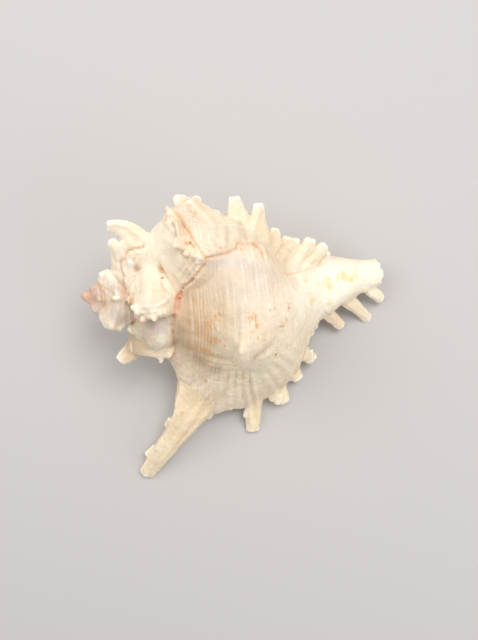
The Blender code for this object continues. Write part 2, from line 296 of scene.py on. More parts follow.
def wall_rings(growth, inset=0.0):
    """The whorls' wall at several stages of growth."""
    growth = np.atleast_1d(growth)[:, None]
    flare = flare_at(growth, RING_INDEX)[..., None]
    places = PLAIN_RING * (1 - flare) + FLARED_RING * flare
    climb = climb_at(growth)
    along = places[..., 0] + CLIMB[0] * climb
    out = places[..., 1] + CLIMB[1] * climb
    out = out + np.where(OUTER, knob_at(growth, RING_INDEX) - inset, 0)
    scale = WHORL_GROWTH ** growth
    return shell_points(along * scale, out * scale, LIP_ANGLE - 360 * growth)


def hollow_rings(growth):
    """The hollow, which narrows as it winds in from the mouth."""
    growth = np.atleast_1d(growth)[:, None]
    flare = HOLLOW_FLARE * flare_at(growth, BASE_POINT)[..., None]
    shares = 1 - HOLLOW_NARROWING * np.clip(-growth / MOUTH_DEPTH, 0, 1)[..., None]
    middle = HOLLOW_RING.mean(0)
    places = HOLLOW_RING + np.where(OUTER[:, None], (FLARED_RING - PLAIN_RING) * flare, 0)
    places = middle + (places - middle) * shares
    scale = WHORL_GROWTH ** growth
    return shell_points(places[..., 0] * scale, places[..., 1] * scale, LIP_ANGLE - 360 * growth)


print("places in the ring at the lip:", wall_rings(0.0).shape)

# %% Wind the whorls, round the lip over and wind back in
STEPS_PER_TURN = 180
LIP_EDGE = ((0.006, 0.5), (0.0105, 2.0))    # the rounded lip: (turns forward, millimetres in)
WRAP_INDEX = 20           # outline points from here on count down to the suture
stages = -WHORLS + np.arange(round(WHORLS * STEPS_PER_TURN) + 1) / STEPS_PER_TURN
inward = LIP_EDGE[-1][0] - np.arange(round(MOUTH_DEPTH * STEPS_PER_TURN) + 1) / STEPS_PER_TURN
rim_rings = [wall_rings(forward, inset) for forward, inset in LIP_EDGE]
rings = np.concatenate([wall_rings(stages), *rim_rings, hollow_rings(inward)])
all_growth = np.concatenate([stages, [forward for forward, _ in LIP_EDGE], inward])[:, None]
in_hollow = (np.arange(len(rings)) >= len(stages) + len(LIP_EDGE))[:, None]
ring_place = np.where(RING_INDEX > WRAP_INDEX, RING_INDEX - len(HOLLOW), RING_INDEX)
add_tube(rings, growth=all_growth, place=ring_place[None], wall=1.0 - in_hollow,
         inner=1.0 * in_hollow)
print("whorl stages:", len(rings), "points:", len(raw.verts))

# %% [markdown]
# ## Canal and first whorl
# The canal is the snout of the shell, a stout oval tube round the axis. A curve object with
# an oval bevel would draw it too, but its points would know nothing of growth and place. So
# oval rings are set square to the middle line, with their own width at each place, and the
# grid helper skins them. A worn canal is open at its end, so a few more rings turn back
# inwards and leave a dent. The first whorl, at the apex, is a small blunt knob.

# %% Oval tubes and dented ends
def oval_rings(centres, widths, flatness, flat_way, around, waver=None):
    """Oval rings round a curved middle line, thinner along flat_way."""
    ahead = np.gradient(centres, axis=0)
    ahead /= np.linalg.norm(ahead, axis=1, keepdims=True)
    thin = flat_way - ahead * (ahead @ flat_way)[:, None]
    thin /= np.linalg.norm(thin, axis=1, keepdims=True)
    wide = np.cross(thin, ahead)
    turn = np.linspace(0, 2 * math.pi, around, endpoint=False)
    size = widths[:, None] * (1 if waver is None else waver(turn[None]))
    return (centres[:, None] + wide[:, None] * (size * np.cos(turn))[..., None]
            + thin[:, None] * (size * flatness * np.sin(turn))[..., None])


def with_dent(rings, ahead, end, ragged=0.0):
    """The rings of a tube with a dented end added: (forward, width) as shares of its last ring."""
    centre = rings[-1].mean(0)
    size = np.linalg.norm(rings[-1] - centre, axis=1).max()
    turn = np.linspace(0, 2 * math.pi, rings.shape[1], endpoint=False)
    ahead = ahead / np.linalg.norm(ahead) * size
    rim = ragged * (np.cos(3 * turn + 1) + np.cos(7 * turn) + 0.6 * np.cos(11 * turn + 2))[:, None]
    ends = [centre + ahead * (forward + rim) + (rings[-1] - centre) * width for forward, width in end]
    return np.concatenate([rings, ends])


# %% The canal and the blunt first whorl
# The canal's middle line and half width, in millimetres: (along, out, up, half width)
CANAL = (
    (40, 0, 0, 8), (75, 0, 0, 10), (105, 0, -1, 11), (122, -1, -2, 14.5), (134, -4, -2, 17.5),
    (143, -3, -1.5, 15.5), (152, -1.8, -1, 12.5), (162, -0.8, -0.5, 9.6), (168, -0.1, 0, 8.5),
    (170.8, 0.2, 0, 8.0),
)
CANAL_FLATNESS = 0.8      # depth as a share of the width
CANAL_SIDES = 64
CANAL_END = ((0.05, 1.0), (0.09, 0.93), (0.05, 0.82), (-0.3, 0.66), (-0.9, 0.5), (-1.6, 0.4))
CANAL_RAGGED = 0.07
CANAL_PLACE = 13.0        # the outline point that the canal belongs to
TUBE_GROWTH = -0.2        # the stage that the canal and the lobes belong to
CURVE_DETAIL = 10         # rings between two places of a tube
FIRST_WHORL = 0.0031      # radius of the knob at the apex
FIRST_WHORL_RINGS = 15
TUBE_SIDES = 36
line = smooth_curve(CANAL, CURVE_DETAIL, False)
centres = line[:, :3] * MM @ TILT.T + APEX
rings = oval_rings(centres, line[:, 3] * MM, CANAL_FLATNESS, TILT[:, 2], CANAL_SIDES)
rings = with_dent(rings, centres[-1] - centres[-2], CANAL_END, CANAL_RAGGED)
add_tube(rings, growth=TUBE_GROWTH, place=CANAL_PLACE)
across = np.linspace(0, 2, FIRST_WHORL_RINGS)[1:-1, None]
centres = APEX + TILT[:, 0] * FIRST_WHORL * across
widths = FIRST_WHORL * np.sin(np.linspace(0, math.pi, FIRST_WHORL_RINGS)[1:-1])
rings = oval_rings(centres, widths, 1.0, TILT[:, 2], TUBE_SIDES)
add_tube(rings, growth=-WHORLS, place=SHOULDER_POINT)
print("length of the canal's line, mm:", round(float(line[-1, 0] - line[0, 0])))

# %% [markdown]
# ## Lobes and bands
# Between the spines the old lips are thin, frilled bands with small rounded lobes on their
# edges. They could be pulled out of the flared wall, but its rings are too coarse for that.
# So each lobe is a short round-ended tube and each band a flat one. They are placed by the
# pixels that show them, with their height above the ground, and sink into the wall.

# %% Where the lobes are
# Root and tip, each (u, v, height), then half width and flatness
LOBES = (
    (178, 222, 73, 169, 210, 71, 2.2, 0.42), (184, 214, 71, 176, 196, 69, 2.6, 0.6),
    (186, 214, 71, 182, 196, 68, 2.6, 0.6), (190, 214, 71, 187, 198, 67, 3.2, 0.42),
    (197, 214, 70, 195, 197, 66, 3.4, 0.42), (204, 218, 70, 204, 206, 66, 3.2, 0.42),
    (212, 224, 68, 214, 211, 63, 4.2, 0.42), (221, 230, 66, 223, 219, 60, 3, 0.42),
    (229, 232, 62, 229, 222, 59, 3.2, 0.42), (247, 228, 61, 247, 219, 57, 3, 0.42),
    (270, 243, 46, 269, 230, 47, 3, 0.5), (281, 249, 40, 281, 238, 43, 2.8, 0.5),
    (305, 255, 31, 306, 243, 36, 3, 0.5), (316, 261, 27, 316, 253, 32.5, 2.6, 0.5),
    (324, 261, 24, 328, 252, 30, 2.2, 0.5), (217, 404, 14, 216, 413, 12, 3, 0.42),
    (223, 402, 15, 222, 411, 12, 2.4, 0.42), (230, 400, 16, 229, 410, 13, 2.6, 0.42),
    (237, 398, 16, 237, 408, 12, 2.4, 0.42), (210, 406, 14, 206, 418, 12, 3.6, 0.42),
    (248, 409, 8, 245, 417, 6, 1.6, 0.9), (266, 390, 12, 268, 397, 10, 2.6, 0.42),
    (273, 392, 10, 272, 401, 8, 2.8, 0.42), (278, 396, 8, 277, 404, 7, 2.6, 0.42),
    (286, 364, 15, 285, 373, 12, 2.6, 0.42), (291, 368, 13, 290, 380, 10, 2.6, 0.42),
    (303, 350, 16, 303, 360, 13, 2.6, 0.42), (308, 352, 14, 309, 362, 11, 2.6, 0.42),
    (303, 334, 17, 307, 345, 14, 2.2, 0.8), (307, 324, 21, 312, 335, 18, 2.2, 0.8),
    (310, 318, 22, 316, 328, 19, 2, 0.8), (171, 420, 17, 166, 426, 15, 2, 0.9),
    (155, 449, 9, 146, 455, 8, 2.4, 0.9), (170, 446, 9, 176, 450, 8, 1.6, 0.42),
    (156, 460, 5, 162, 465, 4, 1.8, 0.42), (161, 354, 44, 161, 363, 40.5, 1.1, 0.42),
    (161, 349, 46, 160, 359, 42, 1.9, 0.42), (138, 298, 61, 127, 301, 59, 2.6, 0.9),
    (140, 308, 63.8, 138, 317, 58.5, 2.2, 0.9), (146, 310, 65.1, 145, 319, 59.5, 2, 0.9),
    (152, 309, 66, 153, 318, 60.5, 2.2, 0.9), (157, 304, 66, 159, 313, 61.5, 1.9, 0.9),
    (162, 301, 65.3, 165, 310, 61.5, 2, 0.9), (167, 297, 63.4, 171, 306, 60.5, 1.8, 0.9),
    (112, 283, 53, 105, 272, 53, 3.2, 0.8), (96, 290, 51, 91, 286, 51, 2.4, 0.8),
    (132, 331, 46, 128, 333, 44.5, 3, 0.8), (129, 269, 59.6, 128, 279, 58.6, 1.9, 0.8),
    (130, 262, 61, 128, 267, 60.4, 1.9, 0.8),
)
print("lobes:", len(LOBES))

# %% One lobe, and all of them
LOBE_SIDES = 20
SPINE_PLACE = 5.0         # the outline point that lobes, bands and spines belong to
STEM_RINGS, CAP_RINGS = 10, 7
# Shares of the lobe's own half width: how far its root is sunk in, how far its stem runs on,
# how long its cap is, how wide the root is, how much it narrows, how wide the cap is
SUNK, RUN_ON, CAP_LENGTH = 0.5, 0.1, 0.6
ROOT_WIDTH, NARROWING, CAP_WIDTH = 1.35, 0.45, 0.9


def add_lobe(root, tip, width, flatness):
    """A small rounded lobe of worn shell from its root to its tip, in millimetres."""
    ahead = (tip - root) / np.linalg.norm(tip - root)
    way = np.linspace(0, 1, STEM_RINGS)[:, None]
    stem = root - ahead * width * SUNK + (tip - root + ahead * width * RUN_ON) * way
    cap = np.linspace(0, math.pi / 2, CAP_RINGS)[1:-1]
    centres = np.vstack([stem, stem[-1] + ahead * width * CAP_LENGTH * np.sin(cap)[:, None]])
    stem_widths = ROOT_WIDTH - NARROWING * way[:, 0]
    widths = width * np.concatenate([stem_widths, CAP_WIDTH * np.cos(cap)])
    up = np.array((0.0, 0.0, 1.0))
    rings = oval_rings(centres * MM, widths * MM, flatness, up, LOBE_SIDES)
    add_tube(rings, growth=TUBE_GROWTH, place=SPINE_PLACE, wall=0.5)


for lobe in LOBES:
    add_lobe(seen_at(*lobe[:3]), seen_at(*lobe[3:6]), *lobe[6:])
print("points with the lobes:", len(raw.verts))

# %% Bands of old lip
# Places (u, v, height, half width), and the way in which the band is thin
BANDS = (
    (((169, 220, 68.5, 3.2), (160, 230, 66.5, 3.6), (152, 239, 63.5, 3.6), (143, 247, 59.5, 3)),
     (-0.2, 0.35, 0.9)),
    (((209, 235, 73, 6), (222, 237, 70, 8), (240, 236, 63, 8), (256, 239, 56, 8),
      (270, 247, 48, 8), (284, 255, 38.5, 7.5), (297, 262, 32.5, 7), (311, 263, 27.5, 6.5),
      (324, 262, 20, 4)), (0.35, 0.5, 0.79)),
    (((118, 243, 63.5, 4), (123, 253, 61, 5), (126, 263, 59, 5), (125, 273, 57, 4)),
     (-0.2, 0.5, 0.84)),
    (((129, 344, 43, 3.5), (135, 347, 43, 4.5), (150, 349, 43, 4.5), (159, 351, 43, 4),
      (170, 351, 43, 4)), (0, -0.3, 0.95)),
)
BAND_FLATNESS = 0.42
BAND_GROWTH = -0.38
for places, thin_way in BANDS:
    places = [(*seen_at(u, v, height), width) for u, v, height, width in places]
    line = smooth_curve(places, CURVE_DETAIL, False)
    thin_way = np.array(thin_way) / np.linalg.norm(thin_way)
    rings = oval_rings(line[:, :3] * MM, line[:, 3] * MM, BAND_FLATNESS, thin_way, TUBE_SIDES)
    add_tube(rings, growth=BAND_GROWTH, place=SPINE_PLACE, wall=1.0)
print("bands:", len(BANDS))

# %% [markdown]
# ## Spines
# A spine is a fold of the lip: seen from the front it has an open furrow, and its back is
# ribbed lengthwise. A tapered cylinder would have neither, nor the bend. The same oval rings
# serve again, with a furrow and ribs in their outline. Old spines are worn and broken, so
# they end blunt, with a shallow dent, and not in a point.

# %% Where the spines stand
# Root to tip, each as places (along, out, angle, half width)
LIP_SPINES = (
    ((68, 34, -22, 10), (62, 52, -17, 13), (58, 67, -16.5, 12.5), (52.5, 78, -17, 9.4),
     (43.8, 90.8, -18.5, 6.9), (36.3, 101.5, -20, 6.2), (27.2, 116.0, -22, 5.4)),
    ((93.3, 64, -15, 6.6), (93.0, 80, -18, 5.0), (92.8, 92.6, -18.5, 4.6)),
    ((105.5, 58, -15, 7.4), (109, 68, -18, 5.8), (111.6, 75.8, -18, 4.8)),
    ((115, 50, -15, 5.4), (118.9, 57.5, -18, 4.5), (121.6, 62.0, -17, 3.8)),
    ((120, 40, -15, 5.2), (126, 46.6, -18, 4.4), (130.5, 50.5, -17, 3.8)),
    ((129.6, 10.5, 8, 7), (134.8, 17.5, -6, 4.9), (142.2, 24.4, -18, 4.0), (150.2, 32, -24, 3.4)),
    ((142, 6, 8, 6.4), (148.8, 13.2, -8, 4.8), (158.4, 20.4, -20, 4.0), (167.9, 30, -27, 3.3)),
    ((155, 2.5, 8, 6), (161.8, 6.9, -8, 4.2), (168.4, 11.4, -18, 3.4), (175.3, 17.2, -24, 2.9)),
)
UPPER_SPINES = (
    ((66, 32, 126, 15), (58, 43, 134, 12.5), (54.0, 50, 141, 8.0)),
    ((82.5, 32, 124, 10.0), (82.3, 41, 136, 6.4), (81.4, 47, 140, 4.6), (80.3, 53.0, 142, 2.8)),
    ((92, 27, 124, 9.0), (92.6, 38, 136, 5.9), (93.4, 44, 140, 4.3), (93.5, 48.8, 142, 2.6)),
    ((101, 22, 130, 7.0), (103, 30, 138, 4.6), (104, 34, 142, 2.8)),
    ((106, 18, 134, 6.0), (110, 25, 140, 4.4), (111, 28, 142, 2.6)),
    ((111, 16, 134, 5.6), (115, 23, 140, 4.0), (116, 26.5, 142, 2.6)),
    ((118, 12, 136, 7.0), (123.2, 20, 140, 5.0), (125.2, 25.6, 142, 3.2)),
    ((121, 9, 138, 8.0), (129, 16, 142, 5.6), (135, 20.5, 144, 2.8)),
)
HIDDEN_SPINES = (
    ((48, 26, 238, 8.5), (45, 36, 243, 6.5), (42, 43, 247, 4.4)),
    ((64, 28, 238, 5.6), (64.5, 37, 245, 4.0), (65, 43, 249, 2.8)),
    ((75, 23, 238, 5.2), (76, 31, 245, 3.6), (77, 37, 249, 2.6)),
    ((84, 14, 238, 4.6), (88, 20, 242, 3.4), (91, 25, 244, 2.2)),
    ((92, 9, 236, 4.6), (97, 14, 240, 3.2), (101, 18, 240, 2.2)),
    ((101, 6, 230, 4.2), (107, 10.5, 230, 3.0), (112, 14, 228, 2.2)),
)
SPIRE_SPINES = (
    ((38, 16, 134, 9.5), (32, 28, 141, 8.5), (26.3, 36.0, 145, 5.6), (20.7, 39.2, 145, 4.3),
     (16.4, 39.8, 145, 3.3)),
    ((23.6, 18, 146, 6.5), (20.2, 27, 146, 4.0), (17.6, 32.2, 145, 2.2)),
    ((35.5, 18, -6, 9.0), (28, 26.6, -9, 6.6), (21.6, 33.4, -11, 4.8), (17.2, 37.0, -12, 3.3)),
    ((43, 24, 8, 5.0), (43, 32, 4, 3.4), (42, 36.5, 0, 2.0)),
)
SPINES = LIP_SPINES + UPPER_SPINES + HIDDEN_SPINES + SPIRE_SPINES
print("spines:", len(SPINES))

# %% One folded spine, and all of them
SPINE_FLATNESS = 0.72
ROOT_FLATNESS = 0.5
FURROW_DEPTH = 0.24       # of the open furrow on the front, as a share of the width
FURROW_WIDTH = 0.5
SPINE_RIBS = 7
SPINE_RIB = 0.045
END_RINGS = ((0.08, 0.96), (0.18, 0.86), (0.21, 0.66), (0.14, 0.42), (0.02, 0.24))


def spine_section(turn):
    """The outline round a spine: ribbed, with a furrow on its front."""
    off_front = np.angle(np.exp(1j * (turn + math.pi / 2)))
    furrow = FURROW_DEPTH * np.exp(-(off_front / FURROW_WIDTH) ** 2)
    return 1 + SPINE_RIB * np.cos(SPINE_RIBS * turn) - furrow


def add_spine(places):
    """A folded spine along the curve through its places, with a blunt worn end."""
    widths = smooth_curve(places, CURVE_DETAIL, False)[:, 3] * MM
    rough = shell_points(*np.array(places, float)[:, :3].T)
    centres = smooth_curve(rough, CURVE_DETAIL, False)
    flat_way = shell_points(0, 1, places[1][2] + 90) - shell_points(0, 0, 0)
    flat_way /= np.linalg.norm(flat_way)
    flatness = np.linspace(ROOT_FLATNESS, SPINE_FLATNESS, len(centres))[:, None]
    rings = oval_rings(centres, widths, flatness, flat_way, TUBE_SIDES, spine_section)
    rings = with_dent(rings, centres[-1] - centres[-2], END_RINGS)
    add_tube(rings, growth=growth_at(places[0][2]), place=SPINE_PLACE, spine=1.0)


for places in SPINES:
    add_spine(places)
print("points with the spines:", len(raw.verts))

# %% The raw tubes as one mesh
raw_mesh = bpy.data.meshes.new("raw_shell")
raw.to_mesh(raw_mesh)
raw.free()
raw_mesh.vertices.foreach_set("co", np.concatenate(raw_places).astype(np.float32).ravel())
for name in MARKS:
    layer = raw_mesh.attributes.new(name, "FLOAT", "POINT")
    layer.data.foreach_set("value", np.concatenate(raw_marks[name]).astype(np.float32))
raw_mesh.update()
print("raw points:", len(raw_mesh.vertices))

# %% [markdown]
# ## One skin
# The whorls, the canal and the spines still pass through one another. A boolean union of
# so many curved tubes is slow and fragile. A voxel remesh melts them into one closed skin
# with soft joints, which is how shell material fills such corners. Its cells are small
# enough that a pixel of the photograph is about one cell. A Smooth modifier takes the last
# steps of the grid away.

# %% Melt everything into one skin
VOXEL = 0.00068           # in metres
EASE_FACTOR, EASE_ROUNDS = 0.5, 3
draft = bpy.data.objects.new("draft", raw_mesh)
bpy.context.scene.collection.objects.link(draft)
fuse = draft.modifiers.new("one skin", "REMESH")
fuse.mode = "VOXEL"
fuse.voxel_size = VOXEL
ease = draft.modifiers.new("no grid steps", "SMOOTH")
ease.factor = EASE_FACTOR
ease.iterations = EASE_ROUNDS


def baked(obj):
    """The object's mesh with its modifiers applied, as a new mesh."""
    graph = bpy.context.evaluated_depsgraph_get()
    return bpy.data.meshes.new_from_object(obj.evaluated_get(graph), depsgraph=graph)


skin = baked(draft)
print("points of the skin:", len(skin.vertices))

# %% [markdown]
# ## What each place of the skin is
# The remesh forgets the marks, so each point of the skin asks the nearest triangle of the
# raw tubes for them. A Data Transfer modifier could carry them as vertex groups, but those
# hold only 0 to 1, and growth is below 0. Here one search serves all five: it finds the
# triangle, and the point's shares of its three corners mix their values.

# %% Read meshes as arrays
def read(values, name, width, kind=np.float32):
    """An attribute of a mesh collection as an array."""
    data = np.empty(len(values) * width, kind)
    values.foreach_get(name, data)
    return data.reshape(-1, width) if width > 1 else data


def corners(mesh):
    """The three points of every triangle."""
    mesh.calc_loop_triangles()
    return read(mesh.loop_triangles, "vertices", 3, np.int32)


def dot(a, b):
    """The dot product of each row of a with that of b."""
    return np.einsum("ij,ij->i", a, b)


co = read(skin.vertices, "co", 3).astype(float)
skin_tris = corners(skin)
print("triangles of the skin:", len(skin_tris))

# %% Carry the marks over to the skin
raw_co = read(raw_mesh.vertices, "co", 3)
raw_tris = corners(raw_mesh)
tree = BVHTree.FromPolygons(raw_co.tolist(), raw_tris.tolist())
found = [tree.find_nearest(point) for point in co.tolist()]
nearest = np.array([hit[2] for hit in found])
touch = np.array([hit[0] for hit in found])
a, b, c = (raw_co[raw_tris[nearest][:, k]].astype(float) for k in range(3))
ab, ac, ap = b - a, c - a, touch - a
d00, d01, d11 = (ab * ab).sum(1), (ab * ac).sum(1), (ac * ac).sum(1)
d20, d21 = (ap * ab).sum(1), (ap * ac).sum(1)
area = d00 * d11 - d01 * d01 + 1e-30
share_b = np.clip((d11 * d20 - d01 * d21) / area, 0, 1)
share_c = np.clip((d00 * d21 - d01 * d20) / area, 0, 1)
shares = np.stack([1 - share_b - share_c, share_b, share_c], 1)
mark = {}
for name in MARKS:
    values = read(raw_mesh.attributes[name].data, "value", 1)
    mark[name] = (values[raw_tris[nearest]] * shares).sum(1)
print("marks carried:", {name: round(float(v.mean()), 3) for name, v in mark.items()})

# %% [markdown]
# ## Tools for the relief
# A worn shell is covered with small forms: cords that run along the whorl, growth lines
# across them, creases where the lip stopped, frills and pits. A Displace modifier could make
# the even ones, but most of these stand in one place of this shell only. So a height in
# millimetres is added up for each point of the skin, and all points are then moved along
# their normals in one go. That needs three tools: averages over neighbours, normals, and
# random lumps that come out the same in every run.

# %% Averages over neighbours, and normals
edges = read(skin.edges, "vertices", 2, np.int32)
valence = np.bincount(edges.ravel(), minlength=len(co))


def spread(values, rounds):
    """Values averaged with their neighbours along the edges, several times."""
    if values.ndim > 1:
        return np.stack([spread(column, rounds) for column in values.T], 1)
    for _ in range(rounds):
        total = (np.bincount(edges[:, 0], values[edges[:, 1]], len(valence))
                 + np.bincount(edges[:, 1], values[edges[:, 0]], len(valence)))
        values = 0.5 * values + 0.5 * total / valence
    return values


def normals_of(points):
    """Outward normals of the skin with its points at new places."""
    a, b, c = (points[skin_tris[:, k]] for k in range(3))
    face = np.cross(b - a, c - a)
    total = np.zeros_like(points)
    for k in range(3):
        for axis in range(3):
            total[:, axis] += np.bincount(skin_tris[:, k], face[:, axis], len(points))
    return total / (np.linalg.norm(total, axis=1, keepdims=True) + 1e-30)


print("neighbours of a point, on average:", round(float(valence.mean()), 2))

# %% Random lumps
CELL_FACTORS = (374761393, 668265263, 1440662683)    # large odd numbers that scramble a cell
SEED_FACTOR = 974711
SCRAMBLER = 1274126177
LOW_BITS = 0xFFFFFFFF
LAST_BITS = 0xFFFF


def cell_value(x, y, z, seed):
    """A number from -1 to 1 for each cell, without a pattern but always the same."""
    h = x * CELL_FACTORS[0] + y * CELL_FACTORS[1]
    h = (h + z * CELL_FACTORS[2] + seed * SEED_FACTOR) & LOW_BITS
    h = ((h ^ (h >> 13)) * SCRAMBLER) & LOW_BITS
    return ((h ^ (h >> 16)) & LAST_BITS) / (LAST_BITS / 2) - 1


def grain(points, seed=0):
    """Soft random lumps, -1 to 1, one for each unit of length."""
    cell = np.floor(points).astype(np.int64)
    f = points - cell
    f = f * f * (3 - 2 * f)
    total = np.zeros(len(points))
    for corner in np.ndindex(2, 2, 2):
        x, y, z = np.where(corner, f, 1 - f).T
        total += cell_value(*(cell + corner).T, seed) * (x * y) * z
    return total


print("grain in three cells:", cell_value(np.arange(3), 0, 0, 1).round(2))

# %% [markdown]
# ## Soft joints and filled creases
# Where tubes meet, the melted skin has sharp creases, and the step in front of the horn's
# rib is too hard. On the real shell these joints are round, because the snail laid new
# shell over them. Smoothing everywhere would also take the ridges down. So the skin is
# smoothed only in chosen places, and elsewhere a point rises only if it lies below its
# surroundings, which fills a crease and leaves a ridge alone.

# %% What the points of the skin are
MARK_ROUNDS = 3
wall, spine, inner = (spread(np.clip(mark[name], 0, 1), MARK_ROUNDS) for name in MARKS[2:])
growth, place = mark["growth"], mark["place"]
angle = LIP_ANGLE - 360 * growth
scale = WHORL_GROWTH ** growth
flare = flare_at(growth, np.clip(place, 0, len(PLAIN_OUTLINE) - 1))
print("points on spines:", int((spine > 0.5).sum()), "in the hollow:", int((inner > 0.5).sum()))

# %% Spots for the easing
# Each spot is (x, y, z, radius) in millimetres. Joints to be smoothed:
SOFT_SPOTS = ((-31, -22, 30, 14), (-20, -33, 24, 9), (-62, 8, 44, 8), (30, 39, 40, 8), (24, 43, 47, 6))
# Creases to be filled up:
FILLED_SPOTS = (
    (12, -13.7, 48, 12), (6, -25, 35, 10), (19, -19, 38, 10), (26, -8, 40, 10), (59, 16, 19, 9),
    (46.6, 11.7, 23, 9), (72.7, 20.6, 14, 8), (-43, 56, 65, 9), (-45, 50, 62, 7), (-67, 1, 39, 7),
    (12, 55, 59, 8), (17, 52, 56, 7), (-31, -23, 29, 13), (-22, -30, 27, 12), (-36, -20, 27, 9),
    (-8, -20, 40, 12), (5, -18, 42, 12), (30, 34, 40, 9), (36, 26, 36, 12), (30, 16, 42, 10),
    (20, 46, 50, 8),
)
# Places where cords and growth lines stay low:
QUIET_SPOTS = ((-3, 57, 68, 9), (8, 56, 62, 9), (18, 50, 52, 9), (27, 46, 43, 9), (38, 43, 36, 9),
               (-41, 52, 66, 12), (-39, 43, 62, 9), (-41, 34, 62, 6), (-33, 47, 72, 6), (-50, 10, 55, 7),
               (-42, 60, 66, 8), (55, 30, 29, 14))
# The step in front of the horn's rib: where its smoothing sets in and where it ends
STEP_ANGLES = ((60, 78), (108, 116))
STEP_POINTS = ((2.8, 4.2), (7.5, 9.0))


def near_spots(spots):
    """1 in the middle of every spot, 0 away from them all, and soft between."""
    level = np.zeros(len(co))
    for x, y, z, radius in spots:
        far = np.linalg.norm(co / MM - (x, y, z), axis=1) / radius
        level = np.maximum(level, np.exp(-far ** 4))
    return level


soften = (wall * blend(*STEP_ANGLES[0], angle) * (1 - blend(*STEP_ANGLES[1], angle))
          * blend(*STEP_POINTS[0], place) * (1 - blend(*STEP_POINTS[1], place)))
soften = np.maximum(soften, near_spots(SOFT_SPOTS))
print("points to be smoothed:", int((soften > 0.5).sum()))

# %% Ease the skin
JOINT_ROUNDS = 70         # rounds of averaging at the joints
CREASE_ROUNDS = (16, 3)   # and for small creases: how wide is compared, how soft the rise is
CREASE_SHARE = 0.9
FILL_ROUNDS = (45, 4)     # the same for the wide creases in the filled spots
FILLS = 5


def fill_creases(points, rounds, share):
    """The points that lie below their surroundings, raised by a share of that depth."""
    outward = normals_of(points)
    depth = dot(spread(points, rounds[0]) - points, outward)
    return points + outward * (np.clip(spread(depth, rounds[1]), 0, None) * share)[:, None]


co = co + (spread(co, JOINT_ROUNDS) - co) * soften[:, None]
co = fill_creases(co, CREASE_ROUNDS, CREASE_SHARE)
filled, quiet = near_spots(FILLED_SPOTS), near_spots(QUIET_SPOTS)
for _ in range(FILLS):
    co = fill_creases(co, FILL_ROUNDS, filled)
mm = co / MM
normal = normals_of(co)
skin_tree = BVHTree.FromPolygons(mm.tolist(), skin_tris.tolist())
print("height of the eased skin, mm:", mm[:, 2].max().round(1))

# %% [markdown]
# ## Even relief: cords, growth lines and lumps
# Cords run along the whorl, so they are waves over the place on the ring. Growth lines run
# across it, so they are lumps drawn out along the growth. Both follow the values that the
# points kept from the winding, so they turn with the shell like the real ones. Lumps of
# several sizes stand for wear. A noise texture in the material could draw all this too, but
# only real relief changes the outline and throws shadows.

# %% Measures of the even relief
WARP = (9, 1)             # size in millimetres and seed of the waver in cords and lines
WEAR = (14, 5)            # the same for where growth lines are worn away
WORN_LEAST = 0.35         # share of their height that is left there
# Growth lines: how many in a turn, how wavy, how they change along the ring, seed, height
GROWTH_LINES = ((150, 0.35, 0.5, 3, 0.09), (420, 0.8, 0.8, 4, 0.045))
CORDS = (3.5, 0.15)       # cords to an outline point, and how wavy
BROAD_CORDS = (0.95, 0.1)
CORD_HEIGHT = 0.06
BROAD_HEIGHT = (0.10, 0.6)    # on the plain whorl, and how much more on a full rib
# Lumps: size in millimetres, seed and height
SPINE_LUMPS = ((1.6, 12, 0.15), (3.0, 13, 0.18))
SMALL_LUMPS, MIDDLE_LUMPS, LARGE_LUMPS = (1.5, 6, 0.11), (3.3, 7, 0.14), (8, 8, 0.45)
APEX_LUMPS = (4.2, 9, 0.75)
APEX_SWELLING = 0.8
APEX_REACH, SWELLING_REACH = 24, 9    # radius in mm of those lumps and of the swelling
# The last whorl is smoother than the rest: where that sets in and where it ends
SMOOTH_ANGLES = ((20, 45), (100, 112))
SMOOTH_POINTS = (9, 11)
# Shares of height that are taken away: from growth lines and from small lumps where the
# whorl is smooth, from cords and lines in quiet spots, and from everything on the inner wall
LESS_LINES, LESS_LUMPS, LESS_QUIET, LESS_INSIDE = 0.8, 0.6, 0.85, 0.8
print("growth lines in a turn:", [line[0] for line in GROWTH_LINES])

# %% Add up the even relief
def lumps(size, seed, height):
    """Random lumps of a size and a height, in millimetres."""
    return height * grain(mm / size, seed)


def near_apex(radius, power=4):
    """1 at the apex and 0 away from it."""
    return np.exp(-(from_apex / radius) ** power)


def waves(per_point, wavy):
    """Cords: waves over the place on the ring."""
    return np.cos(2 * math.pi * (place * per_point + wavy * warp))


from_apex = np.linalg.norm(mm - APEX / MM, axis=1)
warp = grain(mm / WARP[0], WARP[1])
worn = WORN_LEAST + (1 - WORN_LEAST) * blend(-0.5, 0.5, grain(mm / WEAR[0], WEAR[1]))
last_whorl = blend(*SMOOTH_ANGLES[0], angle) * (1 - blend(*SMOOTH_ANGLES[1], angle))
last_whorl = last_whorl * (1 - blend(*SMOOTH_POINTS, place))
lines = 0.0
for count, wavy, across, seed, height in GROWTH_LINES:
    drawn_out = np.stack([growth * count + wavy * warp, place * across, growth * 0], 1)
    lines = lines + height * grain(drawn_out, seed)
relief = wall * worn * scale ** 0.5 * (1 - LESS_LINES * last_whorl) * lines
broad_height = BROAD_HEIGHT[0] + BROAD_HEIGHT[1] * np.clip(flare, 0, 1)
relief += wall * scale * (CORD_HEIGHT * waves(*CORDS) + broad_height * waves(*BROAD_CORDS))
relief += spine * (lumps(*SPINE_LUMPS[0]) + lumps(*SPINE_LUMPS[1]))
relief *= 1 - LESS_QUIET * quiet
relief += (lumps(*SMALL_LUMPS) * (1 - LESS_LUMPS * last_whorl) + lumps(*MIDDLE_LUMPS)
           + lumps(*LARGE_LUMPS))
relief *= 1 - LESS_INSIDE * inner
relief += lumps(*APEX_LUMPS) * near_apex(APEX_REACH)
relief += APEX_SWELLING * near_apex(SWELLING_REACH, 2)
print("even relief, mm:", round(float(relief.min()), 2), round(float(relief.max()), 2))

